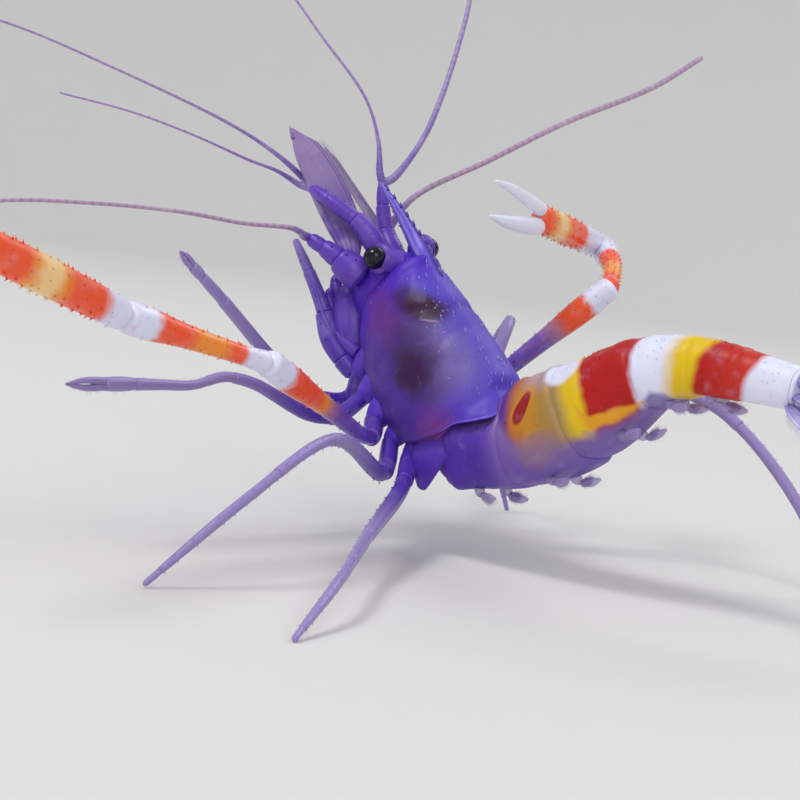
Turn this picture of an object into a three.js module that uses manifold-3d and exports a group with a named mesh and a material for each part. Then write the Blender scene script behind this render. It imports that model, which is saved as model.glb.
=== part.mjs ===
// A boxer shrimp, life size, standing on its last two pairs of walking legs with its claws held out.
// Millimetres, +Z up, head towards -X, the animal's left towards -Y, feet on the plane z = 0.

import * as THREE from 'three';
import { mergeVertices } from 'three/addons/utils/BufferGeometryUtils.js';
import Module from 'manifold-3d';

const wasm = await Module();
wasm.setup();

// ---- driving dimensions ----

const CARAPACE_LENGTH = 11;
const ROSTRUM_LENGTH = 5.9;
const BODY_PITCH = 40;
const ORBIT_HEIGHT = 18.2;
const JOINT_GAP = 0.3;
const FEELER_RADIUS = 0.26;
const BLADE_THICKNESS = 0.5;
const EYE_RADIUS = 0.7;

// Lengths of the limb segments, from the body outwards.
const CLAW_ARM = { ischium: 3, merus: 13, carpus: 11, palm: 12, finger: 8 };
const WALKING_LEG_4 = { ischium: 3.5, merus: 11 };
const WALKING_LEG_5 = { ischium: 3.1, merus: 11.5 };

const LILAC = [0.42, 0.32, 0.74];
const VIOLET = [0.3, 0.17, 0.72];
const BLACK = [0.02, 0.02, 0.03];
const ORANGE = [0.85, 0.3, 0.1];
const WHITE = [0.86, 0.86, 0.95];
const AMBER = [0.8, 0.55, 0.2];
const CREAM = [0.75, 0.66, 0.66];

// ---- frames ----

const pitch = THREE.MathUtils.degToRad(BODY_PITCH);

/** A point given forward, left and up of the orbit, in the frame of the pitched head and thorax. */
function onBody(forward, left, up) {
  return new THREE.Vector3(
    -Math.cos(pitch) * forward + Math.sin(pitch) * up,
    -left,
    Math.sin(pitch) * forward + Math.cos(pitch) * up + ORBIT_HEIGHT,
  );
}

/** A direction in the same frame. */
function bodyDirection(forward, left, up) {
  return onBody(forward, left, up).sub(onBody(0, 0, 0)).normalize();
}

/** A direction by its angle out from straight ahead, towards the limb's own side, and its rise. */
function heading(yaw, rise, side) {
  const out = THREE.MathUtils.degToRad(yaw);
  const lift = THREE.MathUtils.degToRad(rise);
  return new THREE.Vector3(
    -Math.cos(out) * Math.cos(lift),
    -side * Math.sin(out) * Math.cos(lift),
    Math.sin(lift),
  );
}

const LEFT = 1;
const RIGHT = -1;
const BODY_UP = bodyDirection(0, 0, 1);
const BODY_FORWARD = bodyDirection(1, 0, 0);
const WORLD_UP = new THREE.Vector3(0, 0, 1);

// ---- lofted solids ----

/** One ring of a loft: a superellipse round centre, half-widths a along u and b along v. */
function ring(centre, u, v, a, b, sides, power = 2) {
  const points = [];
  for (let i = 0; i < sides; i += 1) {
    const angle = (2 * Math.PI * i) / sides;
    const c = Math.cos(angle);
    const s = Math.sin(angle);
    const across = a * Math.sign(c) * Math.abs(c) ** (2 / power);
    const along = b * Math.sign(s) * Math.abs(s) ** (2 / power);
    points.push(centre.clone().addScaledVector(u, across).addScaledVector(v, along));
  }
  return points;
}

/** A closed solid through rings of equal count, capped at both ends. */
function skin(rings) {
  const sides = rings[0].length;
  const positions = rings.flat();
  const index = [];
  const last = rings.length - 1;
  for (let r = 0; r < last; r += 1) {
    for (let i = 0; i < sides; i += 1) {
      const a = r * sides + i;
      const b = r * sides + ((i + 1) % sides);
      index.push(a, b, b + sides, a, b + sides, a + sides);
    }
  }
  for (const [row, flip] of [[0, true], [last, false]]) {
    const middle = new THREE.Vector3();
    rings[row].forEach((p) => middle.addScaledVector(p, 1 / sides));
    const hub = positions.push(middle) - 1;
    for (let i = 0; i < sides; i += 1) {
      const a = row * sides + i;
      const b = row * sides + ((i + 1) % sides);
      index.push(hub, flip ? b : a, flip ? a : b);
    }
  }
  const geometry = new THREE.BufferGeometry().setFromPoints(positions);
  geometry.setIndex(index);
  if (volume(geometry) < 0) {
    for (let i = 0; i < index.length; i += 3) [index[i + 1], index[i + 2]] = [index[i + 2], index[i + 1]];
    geometry.setIndex(index);
  }
  return geometry;
}

function volume(geometry) {
  const at = geometry.getAttribute('position');
  const index = geometry.getIndex();
  const [a, b, c] = [new THREE.Vector3(), new THREE.Vector3(), new THREE.Vector3()];
  let total = 0;
  for (let i = 0; i < index.count; i += 3) {
    a.fromBufferAttribute(at, index.getX(i));
    b.fromBufferAttribute(at, index.getX(i + 1));
    c.fromBufferAttribute(at, index.getX(i + 2));
    total += a.dot(b.clone().cross(c)) / 6;
  }
  return total;
}

/** The value at t from 0 to 1 of an evenly spaced list of numbers. */
function profile(values, t) {
  const place = t * (values.length - 1);
  const i = Math.min(Math.floor(place), values.length - 2);
  return THREE.MathUtils.lerp(values[i], values[i + 1], place - i);
}

/**
 * A limb or feeler along a path, with half-widths a and b as evenly spaced lists.
 * flatEnd cuts its last ring level, for a foot that stands on the floor.
 */
function limb(path, { a, b = a, up = WORLD_UP, steps = 12, sides = 8, power = 2, flatEnd = false, grow = 0 }) {
  const rings = [];
  for (let i = 0; i <= steps; i += 1) {
    const t = i / steps;
    const centre = path.getPointAt(t);
    const along = path.getTangentAt(t);
    if (grow > 0 && i === 0) centre.addScaledVector(along, -grow);
    if (grow > 0 && i === steps) centre.addScaledVector(along, grow);
    const level = flatEnd && i === steps;
    const v = level
      ? along.clone().setZ(0).normalize()
      : up.clone().addScaledVector(along, -up.dot(along)).normalize();
    const u = v.clone().cross(level ? WORLD_UP : along).normalize();
    if (level) u.negate();
    rings.push(ring(centre, u, v, profile(a, t) + grow, profile(b, t) + grow, sides, power));
  }
  return skin(rings);
}

/** A smooth path through points. */
function curve(points) {
  return new THREE.CatmullRomCurve3(points, false, 'centripetal');
}

/** A straight path between two points, pulled in at each end. */
function straight(from, to, trimStart = 0, trimEnd = 0) {
  const along = to.clone().sub(from).normalize();
  return new THREE.LineCurve3(
    from.clone().addScaledVector(along, trimStart),
    to.clone().addScaledVector(along, -trimEnd),
  );
}

// ---- joining and cutting ----

function toSolid(geometry) {
  const plain = geometry.clone();
  plain.deleteAttribute('normal');
  plain.deleteAttribute('uv');
  const merged = mergeVertices(plain, 1e-4);
  return new wasm.Manifold(new wasm.Mesh({
    numProp: 3,
    vertProperties: new Float32Array(merged.getAttribute('position').array),
    triVerts: new Uint32Array(merged.getIndex().array),
  }));
}

function toGeometry(solid) {
  const mesh = solid.getMesh();
  const geometry = new THREE.BufferGeometry();
  geometry.setAttribute('position', new THREE.BufferAttribute(new Float32Array(mesh.vertProperties), 3));
  geometry.setIndex(new THREE.BufferAttribute(new Uint32Array(mesh.triVerts), 1));
  return geometry;
}

/** The largest piece of a solid, without the slivers a cut can leave. */
function largest(solid) {
  return solid.decompose().reduce((best, piece) => (piece.volume() > best.volume() ? piece : best));
}

function join(...geometries) {
  return toGeometry(largest(geometries.map(toSolid).reduce((sum, next) => sum.add(next))));
}

function cut(geometry, ...tools) {
  return toGeometry(largest(tools.map(toSolid).reduce((rest, tool) => rest.subtract(tool), toSolid(geometry))));
}

// ---- the model ----

const shrimp = new THREE.Group();

function add(name, geometry, [red, green, blue], roughness = 0.4) {
  const material = new THREE.MeshStandardMaterial({ roughness, metalness: 0 });
  material.color.setRGB(red, green, blue);
  const mesh = new THREE.Mesh(geometry, material);
  mesh.name = name;
  shrimp.add(mesh);
}

function eachSide(build) {
  build('left', LEFT);
  build('right', RIGHT);
}

// Carapace: half-width, top and bottom at stations behind the orbit, as shares of its length.
const CARAPACE_STATIONS = [
  { back: -0.07, halfWidth: 0.08, top: -0.17, bottom: -0.42 },
  { back: -0.04, halfWidth: 0.13, top: -0.1, bottom: -0.49 },
  { back: 0, halfWidth: 0.165, top: 0, bottom: -0.55 },
  { back: 0.1, halfWidth: 0.205, top: 0.012, bottom: -0.625 },
  { back: 0.25, halfWidth: 0.25, top: 0.02, bottom: -0.69 },
  { back: 0.45, halfWidth: 0.285, top: 0.022, bottom: -0.75 },
  { back: 0.65, halfWidth: 0.305, top: 0.02, bottom: -0.775 },
  { back: 0.85, halfWidth: 0.305, top: 0.01, bottom: -0.75 },
  { back: 0.95, halfWidth: 0.295, top: 0, bottom: -0.715 },
  { back: 1, halfWidth: 0.275, top: -0.025, bottom: -0.67 },
];
const CARAPACE_SIDES = 18;

function carapaceShell(grow) {
  return skin(CARAPACE_STATIONS.map(({ back, halfWidth, top, bottom }, i) => {
    const beyond = i === 0 ? grow : i === CARAPACE_STATIONS.length - 1 ? -grow : 0;
    const middle = onBody(-back * CARAPACE_LENGTH + beyond, 0, ((top + bottom) / 2) * CARAPACE_LENGTH);
    const halfHeight = ((top - bottom) / 2) * CARAPACE_LENGTH + grow;
    const side = bodyDirection(0, 1, 0);
    return ring(middle, side, BODY_UP, halfWidth * CARAPACE_LENGTH + grow, halfHeight, CARAPACE_SIDES, 2.25);
  }));
}

// Leg bases along the underside: distance behind the orbit, out from the midline and below it.
const LEG_BASES = [
  { back: 2.8, out: 1.5, down: 7.9, radius: 0.5 },
  { back: 4.5, out: 1.7, down: 8.5, radius: 0.55 },
  { back: 6.3, out: 1.8, down: 8.7, radius: 0.75 },
  { back: 8.2, out: 1.8, down: 8.5, radius: 0.6 },
  { back: 9.9, out: 1.7, down: 8.0, radius: 0.6 },
];

function legBase(number, side) {
  const { back, out, down } = LEG_BASES[number - 1];
  return onBody(-back, side * out, -down);
}

/** A coxa: a short stub from inside the thorax to just short of the leg. */
function coxa(number, side, grow) {
  const { radius } = LEG_BASES[number - 1];
  const foot = legBase(number, side);
  const root = foot.clone().addScaledVector(BODY_UP, 2.4);
  return limb(straight(root, foot, 0, JOINT_GAP), {
    a: [radius, radius], up: BODY_FORWARD, steps: 1, sides: 6, grow,
  });
}

function thorax(grow) {
  const coxae = [LEFT, RIGHT].flatMap((side) => [1, 2, 3, 4, 5].map((number) => coxa(number, side, grow)));
  return join(carapaceShell(grow), ...coxae);
}

add('carapace', thorax(0), VIOLET);

const thoraxRoom = thorax(JOINT_GAP);

// Rostrum: a thin blade over the eyes, with teeth along its upper edge.
function rostrumBlade() {
  const teeth = 7;
  const outline = new THREE.Shape();
  outline.moveTo(0.05, -0.35);
  outline.lineTo(0.05, 0.55);
  for (let i = 0; i < teeth; i += 1) {
    const along = 0.3 + (i * (ROSTRUM_LENGTH - 1.6)) / teeth;
    const edge = 0.55 - 0.28 * (i / teeth);
    outline.lineTo(along, edge);
    outline.lineTo(along + 0.5, edge + 0.38);
  }
  outline.lineTo(ROSTRUM_LENGTH, 0.12);
  outline.lineTo(ROSTRUM_LENGTH * 0.6, -0.18);
  outline.closePath();
  const blade = new THREE.ExtrudeGeometry(outline, { depth: 0.7, bevelEnabled: false });
  blade.translate(0, 0, -0.35);
  const side = bodyDirection(0, 1, 0);
  const place = new THREE.Matrix4().makeBasis(BODY_FORWARD, BODY_UP, side.negate());
  place.setPosition(onBody(JOINT_GAP, 0, 0));
  return toGeometry(toSolid(blade.applyMatrix4(place)));
}
add('rostrum', rostrumBlade(), VIOLET);

// Eyes on short movable stalks, the left one turned down and the right one forward.
const EYES = { left: onBody(1.2, 2.4, -1.65), right: onBody(1.6, -2.2, -0.7) };
eachSide((name, side) => {
  const centre = EYES[name];
  const root = onBody(1.1, side * 0.6, -1.0);
  const stalk = limb(straight(root, centre, 0, EYE_RADIUS + 0.15), { a: [0.5, 0.56, 0.66], steps: 4 });
  add(`eyestalk_${name}`, cut(stalk, thoraxRoom), VIOLET);
  const eye = new THREE.SphereGeometry(EYE_RADIUS, 12, 8);
  eye.translate(centre.x, centre.y, centre.z);
  add(`eye_${name}`, toGeometry(toSolid(eye)), BLACK, 0.08);
});

// Antennules: a three-jointed peduncle with two feelers each.
const ANTENNULES = {
  left: [onBody(1.75, 0.75, -2.2), onBody(3.9, 1.75, -1.5), onBody(6.2, 2.9, -1.75), onBody(8.3, 2.75, -2.55)],
  right: [onBody(1.75, -0.7, -2.2), onBody(3.8, -0.8, -1.9), onBody(5.4, -0.95, -1.1), onBody(6.9, -1.2, -0.2)],
};
const ANTENNULE_WIDTH = { a: [0.5, 0.52, 0.5, 0.42, 0.45, 0.36], steps: 8 };
eachSide((name) => {
  add(`antennule_peduncle_${name}`, limb(curve(ANTENNULES[name]), ANTENNULE_WIDTH), VIOLET);
});

function feeler(points) {
  const radius = [FEELER_RADIUS * 1.15, FEELER_RADIUS, FEELER_RADIUS];
  return limb(curve(points), { a: radius, steps: 2 * points.length + 2, sides: 6 });
}
const V = (x, y, z) => new THREE.Vector3(x, y, z);

add('antennule_outer_left', feeler([
  V(-9.2, -2.2, 22.1), V(-10, -4.1, 23.4), V(-11.3, -6.9, 24.8), V(-14.6, -13.7, 27.1),
  V(-17.6, -21.4, 29), V(-17.8, -26.9, 28.9),
]), LILAC);
add('antennule_inner_left', feeler([
  V(-8.8, -2.9, 21.7), V(-9, -5.1, 22.4), V(-9.6, -7, 22.8), V(-10.8, -10.7, 23.8),
  V(-11.5, -15.3, 24.6), V(-11.8, -20.8, 25),
]), LILAC);
add('antennule_outer_right', feeler([
  V(-5.6, 1.0, 23.2), V(-6.3, 1.2, 25.3), V(-8, 1.3, 28), V(-11.6, 0.1, 31.8), V(-15, -1.1, 35.3),
  V(-19.7, -3.4, 38.9),
]), LILAC);
add('antennule_inner_right', feeler([
  V(-5, 1.75, 23), V(-4.8, 3.8, 25.7), V(-5.1, 5.4, 28.4), V(-6, 7.9, 33.8), V(-7.3, 10, 38.8),
]), LILAC);

// Antennae: a stout peduncle, a long leaf-like scale and one long feeler each.
const ANTENNAE = {
  left: [onBody(1.3, 1.75, -3.7), onBody(3.4, 2.9, -3.75), onBody(5.4, 3.6, -4.25)],
  right: [onBody(1.3, -1.75, -3.7), onBody(3.4, -2.8, -3.8), onBody(5.4, -3.3, -3.9)],
};
const SCALES = {
  left: [onBody(2.6, 2.2, -3.1), onBody(4.65, 1.85, -2.6), onBody(7.5, 2.1, -1.85), onBody(12.4, 3, -1.1)],
  right: [onBody(2.6, -2.3, -2.9), onBody(6.9, -2, -2.85), onBody(12.7, -1.4, -2.4)],
};
const ANTENNA_FEELERS = {
  left: [
    V(-6.8, -4.1, 18.5), V(-5.6, -5.7, 18.7), V(-4.9, -7.4, 18.9), V(-5.5, -10.7, 18.8), V(-6.3, -15.3, 19),
    V(-7.4, -21.6, 18.8), V(-8.5, -26.6, 18.3), V(-9.4, -31.6, 16.9), V(-10.6, -35.5, 14.6),
  ],
  right: [
    V(-6.5, 3.6, 19.4), V(-5.5, 4.3, 21.5), V(-2.7, 8.5, 25.1), V(-0.5, 13.4, 28.4), V(1.3, 20.7, 32),
    V(1.9, 25.5, 34.9),
  ],
};
const SCALE_TILT = 40;
eachSide((name, side) => {
  const path = curve(ANTENNAE[name]);
  const width = { a: [0.95, 0.85, 0.62, 0.58], steps: 6 };
  const room = limb(path, { ...width, sides: 6, grow: JOINT_GAP });
  const antennuleRoom = limb(curve(ANTENNULES[name]), { ...ANTENNULE_WIDTH, sides: 6, grow: JOINT_GAP });
  add(`antenna_peduncle_${name}`, cut(limb(path, width), thoraxRoom), VIOLET);
  const up = BODY_UP.clone().applyAxisAngle(BODY_FORWARD, -side * THREE.MathUtils.degToRad(SCALE_TILT));
  const half = BLADE_THICKNESS / 2;
  const blade = limb(curve(SCALES[name]), { a: [0.45, 1.2, 1.35, 1.3, 1.15, 0.3], b: [half, half], up, steps: 8 });
  add(`scaphocerite_${name}`, cut(blade, room, antennuleRoom), LILAC);
  add(`antenna_${name}`, cut(feeler(ANTENNA_FEELERS[name]), room), CREAM);
});

// Mouthparts: a soft mass under the front of the carapace.
const mouth = limb(straight(onBody(3, 0, -5.6), onBody(-1.6, 0, -8)), {
  a: [0.6, 1.1, 1.3, 1.2, 0.7], b: [0.5, 0.9, 1, 0.9, 0.5], up: BODY_UP, steps: 8, sides: 12,
});
add('mouthparts', cut(mouth, thoraxRoom), VIOLET);

// Third maxillipeds, carried forward under the head.
eachSide((name, side) => {
  const path = curve([
    onBody(-1.4, side * 1.2, -8.4), onBody(0.2, side * 1.95, -8.1), onBody(2.1, side * 2.1, -7.2),
    onBody(4.6, side * 2.4, -6.4), onBody(7, side * 2.5, -5.9),
  ]);
  add(`maxilliped_${name}`, cut(limb(path, { a: [0.45, 0.5, 0.42, 0.36, 0.26], steps: 10 }), thoraxRoom), LILAC);
});

/** The joints of a limb, from its first point, one [length, yaw, rise] per segment. */
function walk(start, side, segments) {
  const points = [start];
  for (const [length, yaw, rise] of segments) {
    points.push(points.at(-1).clone().addScaledVector(heading(yaw, rise, side), length));
  }
  return points;
}

// Small pincer legs: the first pair raised beside the head, the second held out level.
const PINCER_LEGS = {
  leg_1: {
    number: 1,
    left: [[2.7, -19, -55], [5, 86, 17], [7.8, 87, 35], [2.3, 88, 35], [2.3, 89, 35]],
    right: [[8, 70, -6], [7, 40, 14], [1.9, 30, 20], [1.9, 30, 20]],
    half: [0.33, 0.3, 0.27, 0.27, 0.27, 0.3, 0.26],
  },
  leg_2: {
    number: 2,
    left: [[3.2, 86, -27], [8.6, 87, 16], [2, 84, -16], [6, 94, -1], [5, 94, -1]],
    right: [[3.2, 80, -27], [8.6, 62, 12], [2, 56, -16], [6, 46, -4], [5, 42, -4]],
    half: [0.42, 0.4, 0.34, 0.3, 0.28, 0.3, 0.4, 0.27],
  },
};
for (const [leg, spec] of Object.entries(PINCER_LEGS)) {
  eachSide((name, side) => {
    const path = curve(walk(legBase(spec.number, side), side, spec[name]));
    add(`${leg}_${name}`, cut(limb(path, { a: spec.half, steps: 14, sides: 6 }), thoraxRoom), LILAC);
  });
}

// The large third legs: arm, carpus, palm with its fixed finger, and the movable finger.
const CLAW_POSES = {
  left: {
    ischium: [135, -22], merus: [99.4, 21.8], carpus: [90, 11], palm: [104, 14.7], finger: [114, 9.3], bow: 0,
  },
  right: {
    ischium: [112, 15.7], merus: [144, 46], carpus: [50, 14.3], palm: [-104.5, 5.9], finger: [-106, 4.7],
    bow: 0.5,
  },
};
const FINGER_GAPE = 1.0;
eachSide((name, side) => {
  const pose = CLAW_POSES[name];
  const names = ['ischium', 'merus', 'carpus', 'palm', 'finger'];
  const joints = walk(legBase(3, side), side, names.map((part) => [CLAW_ARM[part], ...pose[part]]));
  const [base, knee, wrist, hand, knuckle, tip] = joints;
  const bend = base.clone().lerp(knee, 0.9).add(knee.clone().lerp(wrist, 0.1)).multiplyScalar(0.5);
  const arm = limb(curve([base, bend, knee.clone().lerp(wrist, 0.5), wrist]), {
    a: [0.52, 0.45, 0.48, 0.56, 0.63, 0.69, 0.6], steps: 12,
  });
  const gap = JOINT_GAP + 0.35;
  const outwards = heading(139, 7, side);
  const middle = wrist.clone().lerp(hand, 0.5).addScaledVector(outwards, pose.bow);
  const forearm = curve([wrist.clone().lerp(hand, gap / CLAW_ARM.carpus), middle, hand]);
  const forearmWidth = { a: [0.64, 0.57, 0.6, 0.66, 0.73, 0.83, 0.75], steps: 12 };
  const forearmRoom = limb(forearm, { ...forearmWidth, grow: JOINT_GAP });
  add(`leg_3_${name}_arm`, cut(arm, thoraxRoom, forearmRoom), ORANGE);
  add(`leg_3_${name}_carpus`, limb(forearm, forearmWidth), ORANGE);
  const grip = new THREE.Vector3().subVectors(tip, knuckle).normalize();
  const open = grip.clone().cross(WORLD_UP).cross(grip).normalize();
  const palm = limb(straight(hand, knuckle, gap, 0), {
    a: [0.64, 0.83, 0.95, 1.0, 1.0, 0.93], b: [0.56, 0.7, 0.79, 0.8, 0.76, 0.7],
    up: open.clone().cross(grip), steps: 9,
  });
  const lowTip = tip.clone().addScaledVector(open, -FINGER_GAPE);
  const lowRoot = knuckle.clone().addScaledVector(grip, -0.6).addScaledVector(open, -0.5);
  const fixed = limb(straight(lowRoot, lowTip), { a: [0.48, 0.52, 0.42, 0.26], up: open, steps: 6, sides: 6 });
  add(`leg_3_${name}_palm`, cut(join(palm, fixed), forearmRoom), ORANGE);
  const highRoot = knuckle.clone().addScaledVector(grip, JOINT_GAP).addScaledVector(open, 0.5);
  const highTip = tip.clone().addScaledVector(open, FINGER_GAPE);
  const dactyl = limb(straight(highRoot, highTip), { a: [0.4, 0.42, 0.37, 0.26], up: open, steps: 6, sides: 6 });
  add(`leg_3_${name}_finger`, cut(dactyl, join(palm, fixed)), WHITE);
});

// Walking legs: a stout thigh to the knee, then a long thin shank bowed down to a flat foot.
const STANCE = {
  leg_4_left: { number: 4, side: LEFT, legs: WALKING_LEG_4, ischium: [128, -28], merus: [114, 14.5],
    shank: [V(8.8, -21.8, 4.6)], foot: V(7.8, -27.2, 0) },
  leg_5_left: { number: 5, side: LEFT, legs: WALKING_LEG_5, ischium: [128, -24], merus: [122.5, -8.8],
    shank: [V(16.6, -22.4, 2.0)], foot: V(19.2, -27.8, 0) },
  leg_4_right: { number: 4, side: RIGHT, legs: WALKING_LEG_4, ischium: [84, 14], merus: [69, 41],
    shank: [V(-7, 16.2, 9.6)], foot: V(-5.5, 19.5, 0) },
  leg_5_right: { number: 5, side: RIGHT, legs: WALKING_LEG_5, ischium: [110, 5], merus: [121, 28],
    shank: [V(13.5, 14.7, 11.1), V(20.4, 15.6, 5.6)], foot: V(22.7, 17, 0) },
};
for (const [name, { number, side, legs, ischium, merus, shank, foot }] of Object.entries(STANCE)) {
  const joints = walk(legBase(number, side), side, [[legs.ischium, ...ischium], [legs.merus, ...merus]]);
  const path = curve([...joints, ...shank, foot]);
  const leg = limb(path, {
    a: [0.5, 0.48, 0.45, 0.4, 0.33, 0.29, 0.28, 0.28, 0.36], steps: 18, sides: 6, flatEnd: true,
  });
  add(name, cut(leg, thoraxRoom), LILAC);
}

// Abdomen: length and upward bend of each somite, then its height and width at the far end.
const SOMITES = [
  { length: 3.6, bend: 45, height: 6.7, width: 5.9 },
  { length: 4.5, bend: 65, height: 6.3, width: 5.6 },
  { length: 5.2, bend: 75, height: 4.4, width: 4.4 },
  { length: 3.5, bend: 56, height: 3.4, width: 3.3 },
  { length: 3, bend: 39, height: 3.0, width: 2.8 },
  { length: 3.2, bend: 36, height: 2.4, width: 2.2 },
];
const ABDOMEN_START = { back: CARAPACE_LENGTH + 0.2, down: 3.9, height: 7.3, width: 5.8 };
const TAIL_BEND = 36;

function backwards(bend) {
  const angle = THREE.MathUtils.degToRad(bend);
  return bodyDirection(-Math.cos(angle), 0, Math.sin(angle));
}

const tailPath = [onBody(-ABDOMEN_START.back, 0, -ABDOMEN_START.down)];
const somiteEnds = [0];
for (const { length, bend } of SOMITES) {
  tailPath.push(tailPath.at(-1).clone().addScaledVector(backwards(bend), length));
  somiteEnds.push(somiteEnds.at(-1) + length);
}
const abdomen = curve(tailPath);
const sideways = bodyDirection(0, 1, 0);
const SOMITE_COLOURS = [AMBER, AMBER, ORANGE, AMBER, ORANGE, WHITE];

SOMITES.forEach(({ height, width }, i) => {
  const before = i === 0 ? ABDOMEN_START : SOMITES[i - 1];
  const rings = [];
  const steps = 4;
  for (let s = 0; s <= steps; s += 1) {
    const share = s / steps;
    const slack = (JOINT_GAP / 2) * (1 - 2 * share);
    const t = (THREE.MathUtils.lerp(somiteEnds[i], somiteEnds[i + 1], share) + slack) / somiteEnds.at(-1);
    const along = abdomen.getTangentAt(t);
    const v = along.clone().cross(sideways).normalize();
    const crown = 1 + 0.04 * Math.sin(Math.PI * share);
    const a = (THREE.MathUtils.lerp(before.width, width, share) / 2) * crown;
    const b = (THREE.MathUtils.lerp(before.height, height, share) / 2) * crown;
    rings.push(ring(abdomen.getPointAt(t), sideways, v, a, b, 16, 2.3));
  }
  add(`somite_${i + 1}`, i === 0 ? cut(skin(rings), thoraxRoom) : skin(rings), SOMITE_COLOURS[i]);
});

// Tail fan: a narrow telson over two pairs of drooping blades.
const tailEnd = tailPath.at(-1);
const tailAlong = backwards(TAIL_BEND);
const tailUp = tailAlong.clone().cross(sideways).normalize();
if (tailUp.dot(BODY_UP) < 0) tailUp.negate();

function onTail(back, left, up) {
  return tailEnd.clone().addScaledVector(tailAlong, back).addScaledVector(sideways, left).addScaledVector(tailUp, up);
}
add('telson', limb(straight(onTail(0.3, 0, 0.55), onTail(6.2, 0, 0.45)), {
  a: [0.75, 0.85, 0.75, 0.6, 0.4], b: [0.42, 0.4, 0.35, 0.3, 0.25], up: tailUp, steps: 6,
}), WHITE);
eachSide((name, side) => {
  const half = BLADE_THICKNESS / 2;
  const inner = straight(onTail(0.35, side * 0.55, -0.35), onTail(6.4, side * 1.7, -1.25));
  const outer = straight(onTail(0.35, side * 0.75, -1.05), onTail(6.2, side * 3.1, -2.9));
  const up = tailUp.clone().addScaledVector(sideways, side * 0.35).normalize();
  const blade = { b: [half, half], up, steps: 7 };
  add(`endopod_${name}`, limb(inner, { a: [0.35, 0.8, 0.95, 0.95, 0.8, 0.35], ...blade }), WHITE);
  add(`exopod_${name}`, limb(outer, { a: [0.35, 0.95, 1.15, 1.2, 1.05, 0.5], ...blade }), WHITE);
});

// Swimmerets: a small paddle on each side under the first five somites, folded back along the belly.
const PADDLE_LENGTH = 2.2;
for (let i = 0; i < 5; i += 1) {
  const t = (somiteEnds[i] + somiteEnds[i + 1]) / 2 / somiteEnds.at(-1);
  const along = abdomen.getTangentAt(t);
  const down = along.clone().cross(sideways).normalize();
  if (down.dot(BODY_UP) > 0) down.negate();
  const before = i === 0 ? ABDOMEN_START : SOMITES[i - 1];
  const belly = (before.height + SOMITES[i].height) / 4;
  eachSide((name, side) => {
    const root = abdomen.getPointAt(t)
      .addScaledVector(down, belly * 1.04 + 0.35)
      .addScaledVector(sideways, side * 0.22 * SOMITES[i].width);
    const tip = root.clone().addScaledVector(along, PADDLE_LENGTH).addScaledVector(down, PADDLE_LENGTH * 0.1);
    const paddle = limb(straight(root, tip), {
      a: [0.3, 0.45, 0.5, 0.3], b: [0.26, 0.26], up: down, steps: 3, sides: 6,
    });
    add(`pleopod_${i + 1}_${name}`, paddle, LILAC);
  });
}

// Origin: middle of the footprint of the whole animal, on the floor.
const extent = new THREE.Box3().setFromObject(shrimp);
const middle = extent.getCenter(new THREE.Vector3());
for (const { geometry } of shrimp.children) geometry.translate(-middle.x, -middle.y, 0);

export default shrimp;
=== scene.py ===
"""A boxer shrimp, life size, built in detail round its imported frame.

Lengths are in millimetres until a mesh is made. Head and thorax are laid out as distances
forward, left and up from the orbit, the notch above the eyes, in a frame pitched nose-up.
"""

import math
import random

import bmesh
import bpy
import numpy as np
from mathutils import Matrix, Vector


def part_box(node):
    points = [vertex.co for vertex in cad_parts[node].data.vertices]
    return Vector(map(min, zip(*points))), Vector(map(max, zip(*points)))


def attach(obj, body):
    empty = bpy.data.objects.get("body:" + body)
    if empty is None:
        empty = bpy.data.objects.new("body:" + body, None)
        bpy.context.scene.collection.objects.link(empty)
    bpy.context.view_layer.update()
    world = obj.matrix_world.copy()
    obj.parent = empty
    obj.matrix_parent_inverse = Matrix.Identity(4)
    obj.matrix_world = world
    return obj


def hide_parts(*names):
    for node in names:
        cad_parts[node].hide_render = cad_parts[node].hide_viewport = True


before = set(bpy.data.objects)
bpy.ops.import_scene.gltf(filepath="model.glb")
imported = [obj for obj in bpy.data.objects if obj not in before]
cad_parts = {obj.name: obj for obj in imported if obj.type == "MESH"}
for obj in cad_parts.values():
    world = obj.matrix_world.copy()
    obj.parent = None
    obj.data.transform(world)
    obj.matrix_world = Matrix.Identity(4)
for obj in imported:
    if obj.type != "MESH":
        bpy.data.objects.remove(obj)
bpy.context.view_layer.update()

MM = 0.001
SEED = 7
rng = random.Random(SEED)

# ---- frames ----

# How far the body is pitched nose-up, the carapace's length and the orbit's height over the floor.
PITCH = math.radians(40)
CARAPACE_LENGTH = 11.0
ORBIT_HEIGHT = 18.2
# The eyes' centres, forward, left and up from the orbit.
EYES = {"left": (1.2, 2.4, -1.65), "right": (1.6, -2.2, -0.7)}
SIDES = {"left": 1, "right": -1}
UP = np.array([0.0, 0.0, 1.0])


def turned(forward, left, up):
    """A direction or offset, or an array of them, given forward, left and up in the pitched frame."""
    forward, left, up = np.broadcast_arrays(forward, left, up)
    return np.stack([
        -math.cos(PITCH) * forward + math.sin(PITCH) * up,
        -left,
        math.sin(PITCH) * forward + math.cos(PITCH) * up,
    ], -1)


def centre_of(node):
    low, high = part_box(node)
    return (np.array(low) + np.array(high)) / 2 / MM


ORBIT = centre_of("eye_left") - turned(*EYES["left"])


def on_body(forward, left, up):
    """A point, or an array of them, forward, left and up from the orbit."""
    return ORBIT + turned(forward, left, up)


def place(x, y, z):
    """A point from the floor below the orbit: back, right and up."""
    return ORBIT + np.array([x, y, z - ORBIT_HEIGHT])


def unit(v):
    return v / np.linalg.norm(v)


def heading(yaw, rise, side):
    """A direction by its angle out from straight ahead, towards its own side, and its rise."""
    out, lift = math.radians(yaw), math.radians(rise)
    return np.array([
        -math.cos(out) * math.cos(lift), -side * math.sin(out) * math.cos(lift), math.sin(lift),
    ])


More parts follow.
